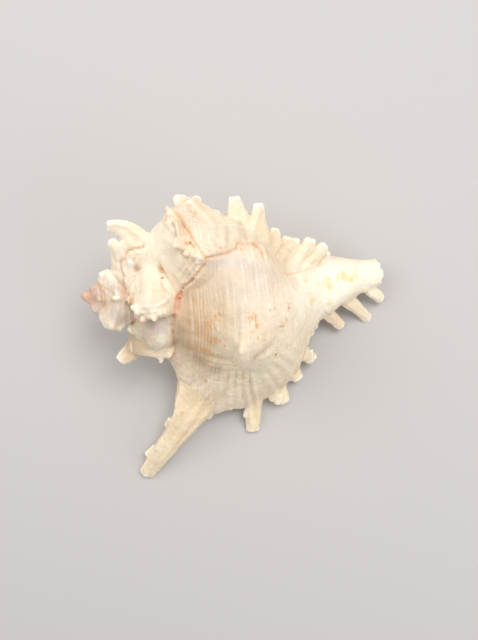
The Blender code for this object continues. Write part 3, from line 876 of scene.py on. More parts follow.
# %% [markdown]
# ## Lines that stand in one place
# Each frill, crease and flute of the real shell has its own way. Sculpting them by hand would do, but
# nobody could see afterwards why a stroke lies where it lies. Here each one is a line of pixels picked
# from the photo, and the lines of sight lay it on the skin.
# Those that carry a seam of colour are used again for the paint.

# %% Lines of the lip, the frills and the spire
# Pixels (u, v) of the photo
LINES = {
    "margin_left": (
        (207, 262), (207, 258), (215, 256), (224, 254), (231, 251), (236, 248), (238, 243), (245, 244),
        (257, 244), (261, 249), (264, 258), (265, 262)),
    "margin_right": (
        (267, 251), (271, 256), (274, 262), (280, 268), (282, 273), (292, 273), (300, 272), (312, 268),
        (328, 262)),
    "wrinkle_a": ((184, 282), (192, 272), (201, 261)),
    "wrinkle_b": ((180, 283), (187, 271), (196, 259)),
    "wrinkle_c": ((177, 277), (182, 269), (189, 260)),
    "front": (
        (207, 262), (203, 268), (196, 276), (190, 283), (184, 287), (181, 292), (178, 300), (177, 307),
        (175, 313)),
    "front_mid": ((194, 279), (190, 283), (185, 287)),
    "front_pink": ((181, 291), (179, 296), (178, 300), (177, 307), (175, 313), (175, 317)),
    "channel": ((172, 209), (175, 212), (182, 222), (190, 233), (197, 245), (205, 257), (207, 262)),
    "trough": ((170, 211), (178, 221), (185, 233), (190, 246), (197, 255)),
    "under_frill": ((165, 215), (172, 224), (175, 236), (178, 251), (186, 261)),
    "node_ridge": ((243, 300), (243, 320), (243, 340), (243, 355), (242, 363)),
    "node_tip": ((243, 340), (243, 350), (243, 358), (243, 364), (243, 368)),
    "growth_high": ((203, 360), (212, 364), (222, 366), (232, 366), (242, 369), (254, 373)),
    "growth_low": ((206, 366), (216, 370), (227, 371), (238, 370), (250, 376)),
    "growth_lip": ((196, 372), (206, 379), (218, 381), (230, 378), (243, 380), (252, 383)),
    "lip_seam": ((174, 313), (173, 315), (173, 322), (173, 330), (173, 338), (174, 346)),
    "node_foot": ((274, 344), (266, 352), (257, 360), (244, 368), (228, 362), (214, 359), (200, 353)),
    "frill": ((168, 209), (173, 216), (176, 222), (180, 235), (183, 250), (190, 254), (197, 256)),
    "old_front": (
        (143, 243), (143, 248), (134, 250), (127, 253), (124, 260), (120, 265), (122, 275), (123, 283),
        (124, 290), (126, 300), (127, 307)),
    "old_end": ((130, 316), (132, 320), (134, 325)),
    "node_seam": ((172, 313), (161, 317), (150, 318), (140, 317)),
    "pits": ((158, 262), (161, 270), (162, 277), (163, 284), (166, 289), (172, 294)),
    "node_edge": (
        (133, 304), (138, 310), (139, 317), (145, 318), (153, 317), (158, 314), (165, 312), (172, 311)),
    "sixth_edge": ((106, 320), (110, 325), (117, 328), (127, 329), (132, 326)),
    "sixth_shelf": ((109, 300), (115, 298), (121, 297), (126, 296)),
    "seventh": ((99, 274), (105, 275), (112, 278), (120, 283)),
    "seventh_low": ((98, 284), (104, 288), (112, 294), (119, 296), (126, 298)),
    "apex_first": ((86, 288), (86, 292), (88, 300), (93, 304)),
    "apex_second": ((97, 280), (97, 284), (99, 290), (102, 296), (102, 304), (104, 311)),
}
print("named lines:", len(LINES))

# %% Ridges and furrows of the frill, the spines and the lip
# Pixels (u, v) of the photo, line by line
RIDGES = (
    ((236, 246), (236, 230), (236, 215), (237, 202)), ((252, 243), (254, 228), (258, 214), (261, 207)),
    ((262, 250), (268, 240), (273, 232)), ((272, 256), (279, 246), (284, 240)),
    ((281, 262), (288, 250), (293, 243)), ((292, 269), (301, 256), (309, 245)),
    ((306, 268), (317, 256), (324, 248)), ((212, 250), (213, 235), (214, 218)),
    ((222, 249), (223, 235), (224, 224)), ((362, 290), (373, 295), (381, 300)),
)
FURROWS = (
    ((229, 246), (229, 232), (229, 224)), ((245, 243), (247, 230), (247, 222)),
    ((258, 246), (263, 237), (266, 233)), ((268, 252), (275, 245), (279, 242)),
    ((276, 259), (284, 249), (287, 244)), ((287, 266), (295, 257), (298, 253)),
    ((300, 269), (309, 258), (315, 251)),
)
SPINE_RIDGES = (
    ((200, 380), (190, 400), (179, 420), (167, 440), (156, 458), (149, 471)),
    ((212, 390), (196, 414), (182, 434), (168, 453), (160, 464)), ((182, 385), (176, 405), (167, 424)),
    ((325, 308), (332, 315), (339, 323)), ((345, 303), (354, 310), (363, 318)),
    ((365, 292), (372, 295), (379, 299)),
)
SPINE_FURROWS = (
    ((206, 386), (193, 408), (180, 428), (167, 447), (158, 462)),
    ((191, 382), (182, 402), (172, 422), (160, 440), (150, 456)),
    ((218, 398), (203, 414), (189, 432), (176, 446)),
)
LIP_FLUTES = (
    ((226, 372), (221, 388), (215, 404)), ((233, 370), (230, 388), (227, 404)),
    ((240, 370), (238, 388), (237, 403)), ((246, 372), (246, 388), (248, 402), (250, 415), (251, 426)),
    ((252, 374), (254, 388), (257, 402), (258, 415), (259, 426)), ((212, 378), (203, 392), (198, 402)),
    ((262, 372), (268, 382), (275, 392), (281, 400)), ((268, 366), (276, 376), (284, 388)),
    ((274, 360), (284, 368), (294, 378)), ((280, 352), (290, 358), (300, 366)),
    ((285, 342), (294, 346), (304, 352)),
)
LIP_FURROWS = (
    ((229, 372), (225, 388), (221, 404)), ((236, 370), (234, 388), (232, 403)),
    ((243, 371), (242, 388), (242, 403)), ((249, 373), (250, 388), (252, 402), (254, 415), (255, 426)),
    ((258, 374), (263, 386), (268, 396)), ((218, 376), (212, 390), (206, 404)),
    ((265, 368), (272, 379), (279, 390)), ((271, 362), (281, 372)),
    ((278, 356), (288, 364), (297, 371)),
)
DEEP_FLUTES, DEEP_FURROWS = 6, 4    # the first of the lip's flutes and furrows are the deep ones
print("ridges and flutes:", len(RIDGES) + len(SPINE_RIDGES) + len(LIP_FLUTES))

# %% Lay pixels and lines on the skin
SIGHT_HEIGHTS = range(80)    # tried in millimetres where a line of sight passes the skin
LINE_DETAIL = 6           # points of a line from one pixel to the next


def on_skin(u, v):
    """The place of the skin that a pixel shows, or the nearest one if the skin isn't met."""
    hit = skin_tree.ray_cast(CAMERA_PLACE.tolist(), sight_line(u, v).tolist())[0]
    if hit is None:
        beside = [skin_tree.find_nearest(seen_at(u, v, height).tolist()) for height in SIGHT_HEIGHTS]
        hit = min(beside, key=lambda found: found[3])[0]
    return np.array(hit)


def laid_on(line):
    """A line of pixels as places on the skin, with more points between them."""
    line = smooth_curve([on_skin(u, v) for u, v in line], LINE_DETAIL, False)
    return np.array([skin_tree.find_nearest(point)[0] for point in line.tolist()])


def line_field(line, reach):
    """Near a line: which points, their distance, their way along it and their side of it."""
    line = laid_on(line)
    near = np.flatnonzero(((mm > line.min(0) - reach) & (mm < line.max(0) + reach)).all(1))
    points, outward = mm[near], normal[near]
    best = np.full(len(near), 1e9)
    way, side = np.zeros(len(near)), np.zeros(len(near))
    done = 0.0
    for a, b in zip(line, line[1:]):
        step = b - a
        length = np.linalg.norm(step) + 1e-9
        t = np.clip((points - a) @ step / length ** 2, 0, 1)
        off = points - (a + t[:, None] * step)
        far = np.linalg.norm(off, axis=1)
        closer = far < best
        best = np.where(closer, far, best)
        way = np.where(closer, done + t * length, way)
        side = np.where(closer, dot(np.cross(step / length, outward), off), side)
        done += length
    close = best < reach
    return near[close], best[close], way[close], side[close]


def wander_along(way, length, row, layer, seed):
    """Random values, -1 to 1, that change once in a length along a line."""
    return grain(np.stack([way / length, way * 0 + row, way * 0 + layer], 1), seed)


print("start of the front line, mm:", on_skin(*LINES["front"][0]).round(1))

# %% Heights of the lines
# Line, height and half width in mm, how uneven, which side of it (0 is both), seed
FEATURES = (
    ("margin_left", -0.9, 0.9, 0.3, 0, 11), ("margin_right", -0.35, 0.8, 0.5, 0, 36),
    ("margin_left", 1.0, 4.5, 0.2, -1, 12), ("front", -1.6, 1.1, 0.3, 0, 13),
    ("wrinkle_a", -0.6, 0.8, 0.4, 0, 33), ("wrinkle_b", -0.6, 0.8, 0.4, 0, 34),
    ("wrinkle_c", -0.5, 0.8, 0.4, 0, 35), ("lip_seam", -0.8, 0.9, 0.3, 0, 14),
    ("growth_high", -0.35, 0.6, 0.5, 0, 41), ("growth_low", -0.35, 0.6, 0.5, 0, 42),
    ("growth_lip", -0.3, 0.6, 0.5, 0, 43), ("trough", -3.6, 2.3, 0.3, 0, 15),
    ("channel", -1.0, 0.9, 0.2, 0, 16), ("frill", 3.4, 1.3, 1.1, 0, 17),
    ("under_frill", -0.8, 1.3, 0.6, 0, 28), ("node_ridge", 1.5, 1.5, 0.15, 0, 26),
    ("node_tip", 2.0, 3.4, 0.1, 0, 37), ("node_foot", -1.0, 2.2, 0.2, 0, 27),
    ("old_front", -1.1, 1.0, 0.3, 0, 18), ("pits", -0.9, 0.9, 0.6, 0, 19),
    ("node_edge", 1.6, 2.0, 1.0, 0, 20), ("sixth_edge", 1.2, 1.6, 1.0, 0, 21),
    ("seventh", 1.3, 1.5, 0.5, 0, 22), ("sixth_shelf", 1.2, 1.3, 0.6, 0, 44),
    ("seventh_low", -0.6, 0.8, 0.4, 0, 23), ("apex_first", -0.5, 0.6, 0.3, 0, 24),
    ("apex_second", -0.6, 0.7, 0.3, 0, 25),
)
# Lines, height and half width in mm, seed of the first
GROUPS = (
    (RIDGES, 0.9, 1.9, 40), (FURROWS, -0.9, 1.3, 70),
    (SPINE_RIDGES, 0.55, 1.3, 100), (SPINE_FURROWS, -0.4, 0.9, 110),
    (LIP_FLUTES[:DEEP_FLUTES], 0.8, 1.1, 120), (LIP_FLUTES[DEEP_FLUTES:], 0.32, 1.2, 130),
    (LIP_FURROWS[:DEEP_FURROWS], -0.7, 0.9, 140), (LIP_FURROWS[DEEP_FURROWS:], -0.28, 0.9, 150),
)
GROUP_UNEVEN = 0.15
features = [(LINES[name], *measures) for name, *measures in FEATURES]
for group, height, width, seed in GROUPS:
    features += [(line, height, width, GROUP_UNEVEN, 0, seed + i) for i, line in enumerate(group)]
print("lines with a height:", len(features))

# %% Add the lines to the relief and move the points
FEATURE_REACH = 2.6       # how far a line works, in its half widths
END_LENGTH = 5            # millimetres over which it rises from its ends
END_START = 1             # and how far into that rise it begins
SIDE_SOFTNESS = 0.4
UNEVEN_LENGTH = 1.6
for line, height, width, uneven, side_wanted, seed in features:
    near, far, way, side = line_field(line, FEATURE_REACH * width)
    shape = np.exp(-(far / width) ** 2) * blend(0, END_LENGTH, way + END_START)
    shape = shape * blend(0, END_LENGTH, way.max() - way + END_START)
    if side_wanted:
        shape *= blend(-SIDE_SOFTNESS, SIDE_SOFTNESS, side * side_wanted)
    wander = wander_along(way, UNEVEN_LENGTH, seed, 0, seed)
    relief[near] += height * shape * (1 + uneven * wander)
moved = co + normal * (relief * MM)[:, None]
moved[:, 2] = np.maximum(moved[:, 2], 0)
print("relief, mm:", round(float(relief.min()), 2), round(float(relief.max()), 2))

# %% [markdown]
# ## Seams of colour
# Where the lip stopped, and where a whorl meets the one before, a thin pink or orange line
# shows. An image texture would need an unwrapped skin and a picture. A value for each point
# does the same with less: the distance from the seam, its strength and its colour. The
# material turns them into paint, so a seam stays sharp on a fine mesh.

# %% Where the seams lie
# Line, strength, half width in mm, how orange, how dark
SEAMS = (
    ("margin_left", 0.65, 0.7, 0.5, 0.0), ("margin_right", 0.4, 0.6, 0.9, 0.0),
    ("front", 0.8, 0.6, 0.5, 0.15), ("front_mid", 0.95, 0.8, 0.3, 0.8),
    ("front_pink", 0.9, 1.6, 0.1, 0.0), ("channel", 0.8, 0.7, 1.0, 0.1),
    ("old_front", 0.62, 0.55, 0.3, 0.1), ("old_end", 0.7, 0.7, 0.2, 0.0),
    ("pits", 0.4, 0.6, 0.3, 0.2), ("seventh_low", 0.4, 0.5, 0.3, 0.0),
    ("apex_first", 0.7, 0.6, 0.4, 0.2), ("apex_second", 0.6, 0.6, 0.5, 0.2),
    ("node_seam", 0.7, 0.6, 0.2, 0.1), ("lip_seam", 0.35, 0.6, 0.5, 0.4),
    ("growth_high", 0.3, 0.6, 1.0, 0.5), ("growth_low", 0.25, 0.5, 1.0, 0.4),
    ("growth_lip", 0.25, 0.5, 1.0, 0.3),
)
SEAM_REACH = 2.2
SEAM_END = 1.5            # millimetres over which a seam fades at its ends
# How a seam's strength and its darkness wander: length in mm, row, layer and seed
STRENGTH_WANDER = (2.4, 0, 5, 31)
DARK_WANDER = (5, 0, 9, 32)
STRENGTH_RANGE = (0.8, 0.4)    # the middle, and how far it wanders from there
DARK_RANGE = (0.6, 0.8)
seam = np.full(len(co), SEAM_REACH)
seam_strength, seam_orange, seam_dark = (np.zeros(len(co)) for _ in range(3))
for name, strength, width, orange, dark in SEAMS:
    near, far, way, side = line_field(LINES[name], SEAM_REACH)
    closer = far < np.abs(seam[near])
    near, far, way, side = near[closer], far[closer], way[closer], side[closer]
    wander = wander_along(way, *STRENGTH_WANDER)
    darker = wander_along(way, *DARK_WANDER)
    ends = blend(0, SEAM_END, way) * blend(0, SEAM_END, way.max() - way)
    seam[near] = np.copysign(far, side) / width
    seam_strength[near] = strength * (STRENGTH_RANGE[0] + STRENGTH_RANGE[1] * wander) * ends
    seam_orange[near] = orange
    seam_dark[near] = dark * (DARK_RANGE[0] + DARK_RANGE[1] * darker)
print("points by the seams:", int((np.abs(seam) < SEAM_REACH).sum()))

# %% [markdown]
# ## Patches of colour
# The shell isn't one colour. It is bleached white on the canal and the old shoulder, tan in places,
# greyish lavender and rose at the spire, yellow by the canal's folds, and has orange stains and dark
# specks. Some patches are painted light and shade as well: white and cream also lighten slopes that face
# away from the lamps, and shade and tan darken slopes and troughs. Painting by hand would do it. Here
# each patch is a soft ball round the place that a pixel shows, with a strength, and where balls of one
# colour overlap, the stronger one counts. How they are coloured and broken up is left to the material.

# %% Where the patches are
# Each ball is (u, v, radius in mm, strength)
PATCHES = {
    "stain": (
        (213, 342, 3, 1.2), (217, 341, 2.2, 1.2), (217, 316, 2, 1.1), (220, 315, 2, 1),
        (212, 322, 1.6, 1), (215, 330, 1.6, 0.9), (209, 325, 1.4, 0.9), (252, 318, 3, 0.9),
        (256, 324, 2.4, 0.9), (250, 330, 2, 0.8), (262, 337, 2.2, 0.8), (258, 337, 2, 0.8),
        (265, 343, 2, 0.7), (228, 340, 1.6, 0.8), (231, 350, 1.4, 0.7), (225, 345, 1.6, 0.8),
        (190, 342, 1.6, 0.8), (194, 345, 2, 1.1), (198, 348, 2.2, 1.1), (203, 350, 2.2, 1.1),
        (208, 352, 2.2, 1.1), (213, 354, 2.2, 1), (218, 356, 2.2, 1), (223, 358, 1.8, 0.9),
        (204, 335, 1.4, 0.8), (204, 325, 1.6, 0.8), (240, 282, 2, 0.3), (235, 285, 2, 0.3),
        (248, 275, 2, 0.3), (205, 366, 1.6, 0.7), (230, 368, 1.6, 0.6), (245, 377, 1.6, 0.6),
        (192, 343, 2.5, 0.7), (198, 348, 3.5, 0.9), (204, 351, 3.5, 0.9), (211, 355, 3.5, 0.8),
        (222, 358, 3, 0.6), (213, 343, 2.6, 1.4), (208, 335, 3, 0.6), (216, 318, 3, 0.75),
        (222, 322, 2.5, 0.5), (212, 322, 3, 0.6), (252, 323, 3.5, 0.55), (256, 333, 3, 0.5),
        (262, 338, 3, 0.45), (262, 320, 3, 0.4), (195, 335, 3, 0.5), (225, 340, 3, 0.45),
        (240, 345, 3, 0.3), (182, 412, 2.2, 0.8), (205, 381, 3, 0.5), (250, 383, 2.2, 0.7),
        (192, 408, 2, 0.6), (232, 238, 3, 0.4), (233, 226, 2.5, 0.5), (243, 230, 2.5, 0.4),
        (222, 249, 2.5, 0.6), (240, 248, 2, 0.8), (256, 246, 2, 0.8), (150, 234, 3, 0.5),
        (165, 217, 2.5, 0.9), (100, 297, 1.6, 1), (133, 322, 2, 1), (186, 243, 1.4, 1.2),
        (130, 300, 3.5, 0.9), (272, 310, 3, 0.4), (281, 326, 3.5, 0.5),
    ),
    "speck": (
        (288, 306, 2.2, 1), (284, 318, 3.5, 0.8), (281, 326, 3, 1), (276, 355, 1.6, 1.3),
        (289, 347, 3.5, 0.7), (300, 300, 4, 0.4), (272, 310, 4, 0.7), (276, 345, 4, 0.7),
        (190, 208, 2, 0.8), (194, 220, 3, 0.8), (197, 212, 2.5, 0.7), (268, 253, 2, 1),
        (300, 320, 5, 0.5), (162, 276, 1.2, 1.2), (176, 341, 2.5, 0.9), (214, 326, 8, 0.35),
        (137, 255, 8, 0.4), (153, 340, 5, 0.5),
    ),
    "dot": (
        (288, 303, 0.94, 0.63), (289, 308, 1.1, 0.77), (283, 319, 0.65, 0.56), (286, 318, 0.79, 0.63),
        (281, 326, 1.1, 0.7), (284, 327, 0.79, 0.63), (276, 355, 1.2, 0.84), (289, 345, 0.65, 0.49),
        (292, 349, 0.65, 0.42), (299, 300, 0.65, 0.42), (272, 310, 0.65, 0.49), (267, 312, 0.58, 0.42),
        (291, 322, 0.58, 0.49), (291, 331, 0.65, 0.49), (287, 336, 0.65, 0.42), (294, 340, 0.65, 0.42),
        (190, 206, 0.79, 0.56), (193, 219, 0.79, 0.63), (197, 213, 0.65, 0.49), (201, 226, 0.86, 0.63),
        (199, 231, 0.65, 0.49), (268, 252, 1.3, 0.49), (188, 243, 1.2, 0.9), (162, 270, 0.68, 0.75),
        (163, 277, 0.99, 0.9), (160, 262, 0.65, 0.56), (128, 296, 0.86, 0.56), (133, 300, 0.79, 0.56),
        (130, 303, 0.72, 0.56), (150, 345, 0.58, 0.35), (156, 347, 0.58, 0.35), (160, 342, 0.5, 0.35),
        (172, 333, 0.58, 0.49), (173, 340, 0.65, 0.49),
    ),
    "yellow": (
        (344, 276, 3.5, 1), (350, 279, 3, 1), (338, 277, 3, 0.8), (328, 281, 3, 1), (331, 287, 3, 1),
        (297, 281, 3, 0.5), (305, 280, 3, 0.7), (312, 300, 3.5, 0.9), (310, 296, 3, 0.7),
        (356, 275, 3, 0.7), (329, 303, 2.5, 0.7), (300, 290, 4, 0.4), (320, 285, 4, 0.6),
    ),
    "shade": (
        (256, 356, 3.5, 0.45), (266, 350, 3.5, 0.3), (200, 330, 7, 0.7), (200, 360, 6, 0.8),
        (215, 370, 5, 0.7), (189, 320, 8, 0.9), (183, 329, 7, 0.9), (190, 301, 6, 0.6),
        (186, 342, 7, 0.7), (205, 337, 7, 0.5), (135, 345, 7, 0.55), (150, 325, 6, 0.3),
        (121, 322, 7, 0.4), (91, 300, 6, 0.3), (115, 292, 6, 0.3), (107, 310, 6, 0.3),
        (221, 237, 9, 0.25), (241, 236, 8, 0.25), (191, 218, 8, 0.2), (239, 295, 14, 0.22),
        (260, 302, 10, 0.15), (140, 294, 9, 0.12),
    ),
    # white: bleached shell, and painted light on slopes that face away from the lamps
    "white": (
        (299, 303, 10, 0.9), (302, 281, 10, 0.8), (145, 240, 6, 0.5), (119, 234, 9, 0.7),
        (161, 260, 9, 0.9), (233, 352, 9, 0.5), (157, 248, 11, 0.8), (164, 269, 8, 0.6),
        (151, 233, 6, 0.5), (243, 350, 4, 0.5), (243, 320, 3.5, 0.5), (338, 282, 20, 0.9),
        (371, 276, 14, 0.9), (305, 295, 9, 0.7), (288, 288, 8, 0.4), (302, 260, 10, 0.6),
        (234, 225, 10, 0.5), (152, 273, 9, 0.3), (114, 278, 5, 0.6), (136, 328, 4, 0.4),
        (162, 343, 6, 0.4),
    ),
    # cream: the lip's warm colour, and painted light on the lip and low slopes turned from the lamps
    "cream": (
        (242, 378, 13, 0.9), (240, 366, 7, 0.6), (268, 375, 16, 1), (176, 417, 14, 0.3),
        (160, 449, 12, 0.5), (286, 353, 10, 0.7), (295, 364, 14, 0.9), (254, 415, 10, 0.35),
        (285, 394, 12, 0.5),
    ),
    "rose": (
        (83, 298, 4, 1), (90, 297, 4.5, 1), (92, 292, 3.5, 0.9), (93, 302, 4, 0.9), (98, 301, 3, 0.5),
    ),
    "lavender": (
        (150, 325, 6, 1), (160, 330, 5, 1), (165, 322, 4, 1), (145, 333, 5, 0.9), (115, 315, 5, 1),
        (125, 318, 4, 0.9), (125, 308, 3, 0.8), (112, 285, 4, 0.8), (120, 290, 4, 0.8), (92, 300, 5, 1),
        (97, 292, 4, 1), (83, 298, 4, 0.9), (100, 305, 3.5, 0.9), (215, 265, 6, 0.6),
        (225, 262, 6, 0.6), (240, 265, 7, 0.65), (255, 272, 7, 0.7), (262, 285, 6, 0.5),
        (210, 285, 6, 0.5), (225, 285, 6, 0.5), (245, 295, 7, 0.4), (269, 275, 6, 0.5),
        (140, 265, 6, 0.5), (130, 262, 5, 0.6), (205, 262, 4, 0.4),
    ),
    # tan: the shell's own tan, and painted shade in troughs and on slopes turned from the lamps
    "tan": (
        (182, 329, 7, 0.7), (190, 295, 5, 0.7), (181, 232, 3, 0.5), (187, 242, 3, 0.5),
        (190, 214, 9, 0.45), (212, 221, 7, 0.3), (231, 229, 7, 0.3), (182, 322, 7, 1),
        (182, 306, 6, 0.8), (190, 332, 7, 0.9), (161, 326, 6, 0.3), (135, 338, 7, 0.9),
        (203, 297, 6, 0.35), (219, 302, 6, 0.35), (190, 320, 8, 0.9), (205, 320, 8, 0.8),
        (220, 330, 8, 0.7), (189, 346, 9, 0.9), (235, 345, 7, 0.5), (250, 340, 7, 0.4),
        (270, 340, 8, 0.5), (204, 371, 9, 0.6), (225, 373, 8, 0.6), (245, 376, 7, 0.5),
        (180, 335, 6, 0.8), (220, 305, 6, 0.5), (265, 330, 6, 0.4), (240, 320, 6, 0.35),
        (210, 395, 8, 0.5), (190, 395, 8, 0.5), (170, 430, 9, 0.6), (155, 455, 9, 0.6),
        (130, 345, 9, 1), (143, 343, 6, 0.8), (130, 300, 4, 0.6), (283, 350, 8, 0.4),
    ),
}
print("balls of colour:", sum(len(balls) for balls in PATCHES.values()))

# %% Turn the patches into values
PATCH_REACH = 2.2
ROSE_APEX = (0.6, 7.5)    # strength and radius in mm of the two colours round the apex
LAVENDER_APEX = (0.7, 15)
patch = {}
for name, balls in PATCHES.items():
    values = np.zeros(len(co))
    for u, v, radius, strength in balls:
        centre = on_skin(u, v)
        near = np.flatnonzero((np.abs(mm - centre) < PATCH_REACH * radius).all(1))
        far = np.linalg.norm(mm[near] - centre, axis=1) / radius
        values[near] = np.maximum(values[near], strength * np.exp(-far ** 2))
    patch[name] = values
for name, (strength, radius) in (("rose", ROSE_APEX), ("lavender", LAVENDER_APEX)):
    patch[name] = np.maximum(patch[name], strength * near_apex(radius))
print("points in patches:", {name: int((values > 0.3).sum()) for name, values in patch.items()})

# %% [markdown]
# ## Hollows, and where the even patterns show
# Hollows get painted shade, and edges are painted lighter, partly as wear and partly as painted
# highlight. The material could ask for the pointiness of the mesh, but only one renderer knows that, and
# an exported model loses it. So a value is made here: how far a point lies below its averaged
# surroundings. Three more values say where orange threads, growth lines and spiral streaks are allowed.

# %% Hollowness and the values for the patterns
HOLLOW_ROUNDS = (14, 2)   # how wide is compared, how soft the value is
HOLLOW_FACTOR = 2.2
APEX_HOLLOWS = 14         # radius in mm within which edges aren't painted lighter
# Angles and outline points between which threads show, and where rows and streaks end
THREAD_ANGLES = ((12, 30), (70, 84), (92, 100))
THREAD_POINTS = (3.0, 4.0)
BODY_POINTS = (9.0, 11.5)
# Shares taken away: of threads high on the whorl, of rows where it is smooth, of streaks in
# quiet spots
LESS_THREADS, LESS_ROWS, LESS_STREAKS = 0.6, 0.85, 0.7
hollowness = dot(spread(co, HOLLOW_ROUNDS[0]) - co, normal) / MM
hollowness = np.clip(spread(hollowness, HOLLOW_ROUNDS[1]) * HOLLOW_FACTOR, -1, 1)
hollowness = np.where(hollowness < 0, hollowness * (1 - near_apex(APEX_HOLLOWS)), hollowness)
thread = wall * blend(*THREAD_ANGLES[0], angle) * (1 - blend(*THREAD_ANGLES[1], angle) * LESS_THREADS)
thread = thread * (1 - blend(*THREAD_ANGLES[2], angle))
on_body = wall * (1 - blend(*BODY_POINTS, place))
patch["thread"] = thread * (1 - blend(*THREAD_POINTS, place))
patch["rows"] = on_body * (1 - LESS_ROWS * last_whorl)
patch["whorl"] = on_body * (1 - LESS_STREAKS * quiet)
print("hollowness:", round(float(hollowness.min()), 2), round(float(hollowness.max()), 2))

# %% [markdown]
# ## The finished mesh
# The skin takes on its new places and its values, and a Decimate modifier thins it out to
# what a library part may have. Decimate keeps values on the points by mixing them, and it
# spares the relief, because flat areas lose their triangles first.

# %% Put the relief on and thin the skin out
MOST_TRIANGLES = 190000
kept_values = {
    "growth": growth, "inside": inner, "spine": spine, "seam": seam,
    "seam_strength": seam_strength, "seam_orange": seam_orange, "seam_dark": seam_dark,
    "hollowness": hollowness, **patch,
}
skin.vertices.foreach_set("co", moved.astype(np.float32).ravel())
for name, values in kept_values.items():
    layer = skin.attributes.new(name, "FLOAT", "POINT")
    layer.data.foreach_set("value", values.astype(np.float32))
draft.modifiers.clear()
draft.data = skin
thin_out = draft.modifiers.new("fewer faces", "DECIMATE")
thin_out.ratio = min(1.0, MOST_TRIANGLES / len(skin_tris))
final_mesh = baked(draft)
bpy.data.objects.remove(draft)
final_mesh.name = "murex"
final_mesh.polygons.foreach_set("use_smooth", [True] * len(final_mesh.polygons))
murex = bpy.data.objects.new("murex", final_mesh)
bpy.context.scene.collection.objects.link(murex)
print("triangles of the shell:", len(corners(final_mesh)))

# %% [markdown]
# ## The material
# Old shell is chalk: matt, pale and full of small variations. One material paints it in layers, like a
# painter does: a cream ground, larger tints, some of which are partly painted light and shade, streaks,
# painted shade in the hollows, edges painted lighter, and small marks last. Noise in object space breaks
# every edge up. The helpers below only make nodes and link them, so that each layer can be one line.

# %% Helpers that make shader nodes
shell_paint = bpy.data.materials.new("shell_paint")
shell_paint.use_nodes = True
nodes, links = shell_paint.node_tree.nodes, shell_paint.node_tree.links
shader = nodes["Principled BSDF"]


def node(kind, **settings):
    """A new shader node with its settings."""
    made = nodes.new(kind)
    for key, value in settings.items():
        setattr(made, key, value)
    return made


def plug(made, **inputs):
    """Sets or links a node's inputs: by name, with _ for a space, or by number, as i0, i1."""
    for key, value in inputs.items():
        by_number = key[0] == "i" and key[1:].isdigit()
        socket = made.inputs[int(key[1:]) if by_number else key.replace("_", " ")]
        if isinstance(value, bpy.types.NodeSocket):
            links.new(value, socket)
        else:
            socket.default_value = value
    return made


def attribute(name):
    """A value that the mesh keeps for each point."""
    return node("ShaderNodeAttribute", attribute_name=name).outputs["Fac"]


def noise(vector, scale, detail=2.0, roughness=0.5):
    """Clouds in space, 0 to 1; a scale of 100 makes them about a centimetre wide."""
    made = node("ShaderNodeTexNoise")
    plug(made, Vector=vector, Scale=scale, Detail=detail, Roughness=roughness)
    return made.outputs["Fac"]


def stripes(value, scale, detail=2.0):
    """Noise that changes along one value only."""
    made = node("ShaderNodeTexNoise", noise_dimensions="1D")
    return plug(made, W=value, Scale=scale, Detail=detail).outputs["Fac"]


def ramp(value, low, high, to_low=0.0, to_high=1.0):
    """A soft step of a value, from to_low at low to to_high at high."""
    made = node("ShaderNodeMapRange", interpolation_type="SMOOTHSTEP")
    plug(made, Value=value, From_Min=low, From_Max=high, To_Min=to_low, To_Max=to_high)
    return made.outputs["Result"]


print("nodes of a new material:", len(nodes))

# %% Helpers that reckon and mix
def math_node(operation, a, b=0.0, c=0.0):
    """The result of a sum on values."""
    return plug(node("ShaderNodeMath", operation=operation), i0=a, i1=b, i2=c).outputs["Value"]


def times(a, b):
    """The product of two values."""
    return math_node("MULTIPLY", a, b)


def plus_noise(value, clouds, strength):
    """A value with clouds added, which make its edges ragged."""
    return math_node("ADD", value, times(math_node("SUBTRACT", clouds, 0.5), strength))


def mix(factor, a, b):
    """The colour a with the colour b over it, as far as the factor says."""
    made = node("ShaderNodeMix", data_type="RGBA")
    return plug(made, i0=factor, i6=a, i7=b).outputs[2]


def colour(red, green, blue):
    """A colour given as the eye reads it, 0 to 255, as linear light."""
    return tuple((c / 255 / 12.92) if c <= 10 else ((c / 255 + 0.055) / 1.055) ** 2.4
                 for c in (red, green, blue)) + (1.0,)


print("a mid grey in linear light:", round(colour(128, 128, 128)[0], 3))

# %% Colours
LIGHT_GROUND = colour(245, 230, 208)
WARM_GROUND = colour(236, 213, 183)
DULL_GROUND = colour(226, 204, 172)
LAVENDER = colour(199, 188, 184)
ROSE = colour(212, 164, 144)
SPINE_CREAM = colour(234, 208, 164)
TAN = colour(201, 178, 145)
BLEACHED_AND_LIT = colour(255, 250, 230)
CREAM = colour(255, 243, 212)
SHADED = colour(160, 132, 102)
TAN_STREAK = colour(214, 188, 152)
PALE_STREAK = colour(253, 246, 230)
GROWTH_LINE = colour(204, 182, 152)
GROWTH_BAND = colour(224, 199, 162)
PIT = colour(206, 180, 146)
PAINTED_HOLLOW_SHADE = colour(180, 144, 106)
RUBBED_AND_HIGHLIT = colour(252, 246, 228)
THREAD_GROUND = colour(238, 208, 166)
THREAD = colour(214, 142, 66)
STAIN = colour(222, 162, 98)
SPECK = colour(178, 118, 66)
DOT = colour(190, 122, 66)
YELLOW = colour(230, 208, 132)
SEAM_PINK = colour(230, 164, 138)
SEAM_ORANGE = colour(234, 182, 122)
SEAM_DARK = colour(132, 84, 50)
SEAM_HALO = colour(238, 194, 156)
INSIDE_LIGHT = colour(246, 226, 206)
INSIDE_DEEP = colour(240, 208, 186)
print("the ground in linear light:", [round(value, 2) for value in LIGHT_GROUND[:3]])

